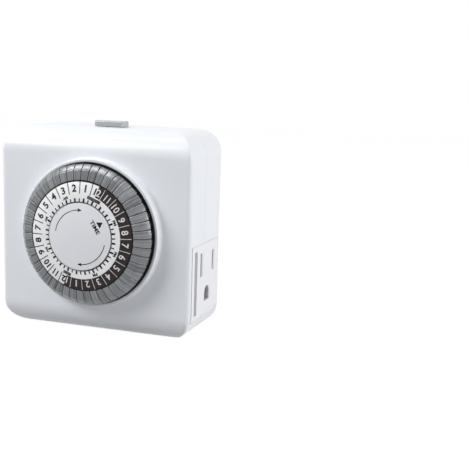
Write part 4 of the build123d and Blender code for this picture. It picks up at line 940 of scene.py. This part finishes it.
# %% The floor's finish: white where it is seen, grey where it throws light back
FLOOR_GREY, FLOOR_WHITE = (0.36, 0.36, 0.37, 1), (0.95, 0.95, 0.95, 1)
FLOOR_GLOW, GLOW_SHARE = 1.02, 0.96  # the rest is left to the shadow
floor_material = bpy.data.materials.new("floor_white")
floor_material.use_nodes = True
nodes, links = floor_material.node_tree.nodes, floor_material.node_tree.links
nodes["Principled BSDF"].inputs["Base Color"].default_value = FLOOR_GREY
nodes["Principled BSDF"].inputs["Roughness"].default_value = 0.9
glow = nodes.new("ShaderNodeEmission")
glow.inputs["Strength"].default_value = FLOOR_GLOW
matt = nodes.new("ShaderNodeBsdfDiffuse")
matt.inputs["Color"].default_value = FLOOR_WHITE
pale = nodes.new("ShaderNodeMixShader")
pale.inputs["Fac"].default_value = GLOW_SHARE
links.new(matt.outputs["BSDF"], pale.inputs[1])
links.new(glow.outputs["Emission"], pale.inputs[2])
ground = nodes.new("ShaderNodeMixShader")
links.new(seen_directly(nodes, links), ground.inputs["Fac"])
links.new(nodes["Principled BSDF"].outputs["BSDF"], ground.inputs[1])
links.new(pale.outputs["Shader"], ground.inputs[2])
links.new(ground.outputs["Shader"], nodes["Material Output"].inputs["Surface"])

# %% The floor
FLOOR_HALF, FLOOR_DROP = 1.5, 0.0002  # metres, and how far it lies under the object
corners = FLOOR_HALF * np.array([(-1, -1, 0), (1, -1, 0), (1, 1, 0), (-1, 1, 0)])
floor_mesh = bpy.data.meshes.new("floor")
floor_mesh.from_pydata(corners.tolist(), [], [(0, 1, 2, 3)])
floor_mesh.materials.append(floor_material)
floor = bpy.data.objects.new("floor", floor_mesh)
floor.location.z = -FLOOR_DROP
bpy.context.scene.collection.objects.link(floor)


# %% The lamps
def soft_box(name, place, target, size, power, across=None):
    """A square area lamp that faces the target, or a strip where its other side is given."""
    lamp = bpy.data.objects.new(name, bpy.data.lights.new(name, "AREA"))
    lamp.data.shape = "RECTANGLE"
    lamp.data.size, lamp.data.size_y, lamp.data.energy = size, across or size, power
    lamp.location = place
    lamp.rotation_mode = "QUATERNION"
    lamp.rotation_quaternion = (Vector(target) - Vector(place)).to_track_quat("-Z", "Y")
    bpy.context.scene.collection.objects.link(lamp)
    return lamp


MIDDLE = (0, 0, 0.04)  # of the housing, in metres like all the lamps' places
UNDER_STRIP = (-0.37, 0.015, 0.04)  # turns the strip so that the topmost pins' slopes mirror it
soft_box("key", (-0.55, -0.50, 0.62), MIDDLE, 0.45, 6.0)
soft_box("overhead_strip", (-0.40, -0.08, 0.88), UNDER_STRIP, 1.1, 2.4, across=0.09)
soft_box("right_side", (0.95, 0.0, 0.22), MIDDLE, 0.5, 5.9)
bpy.context.scene.view_settings.view_transform = "Standard"
print("lamps:", len(bpy.data.lights))
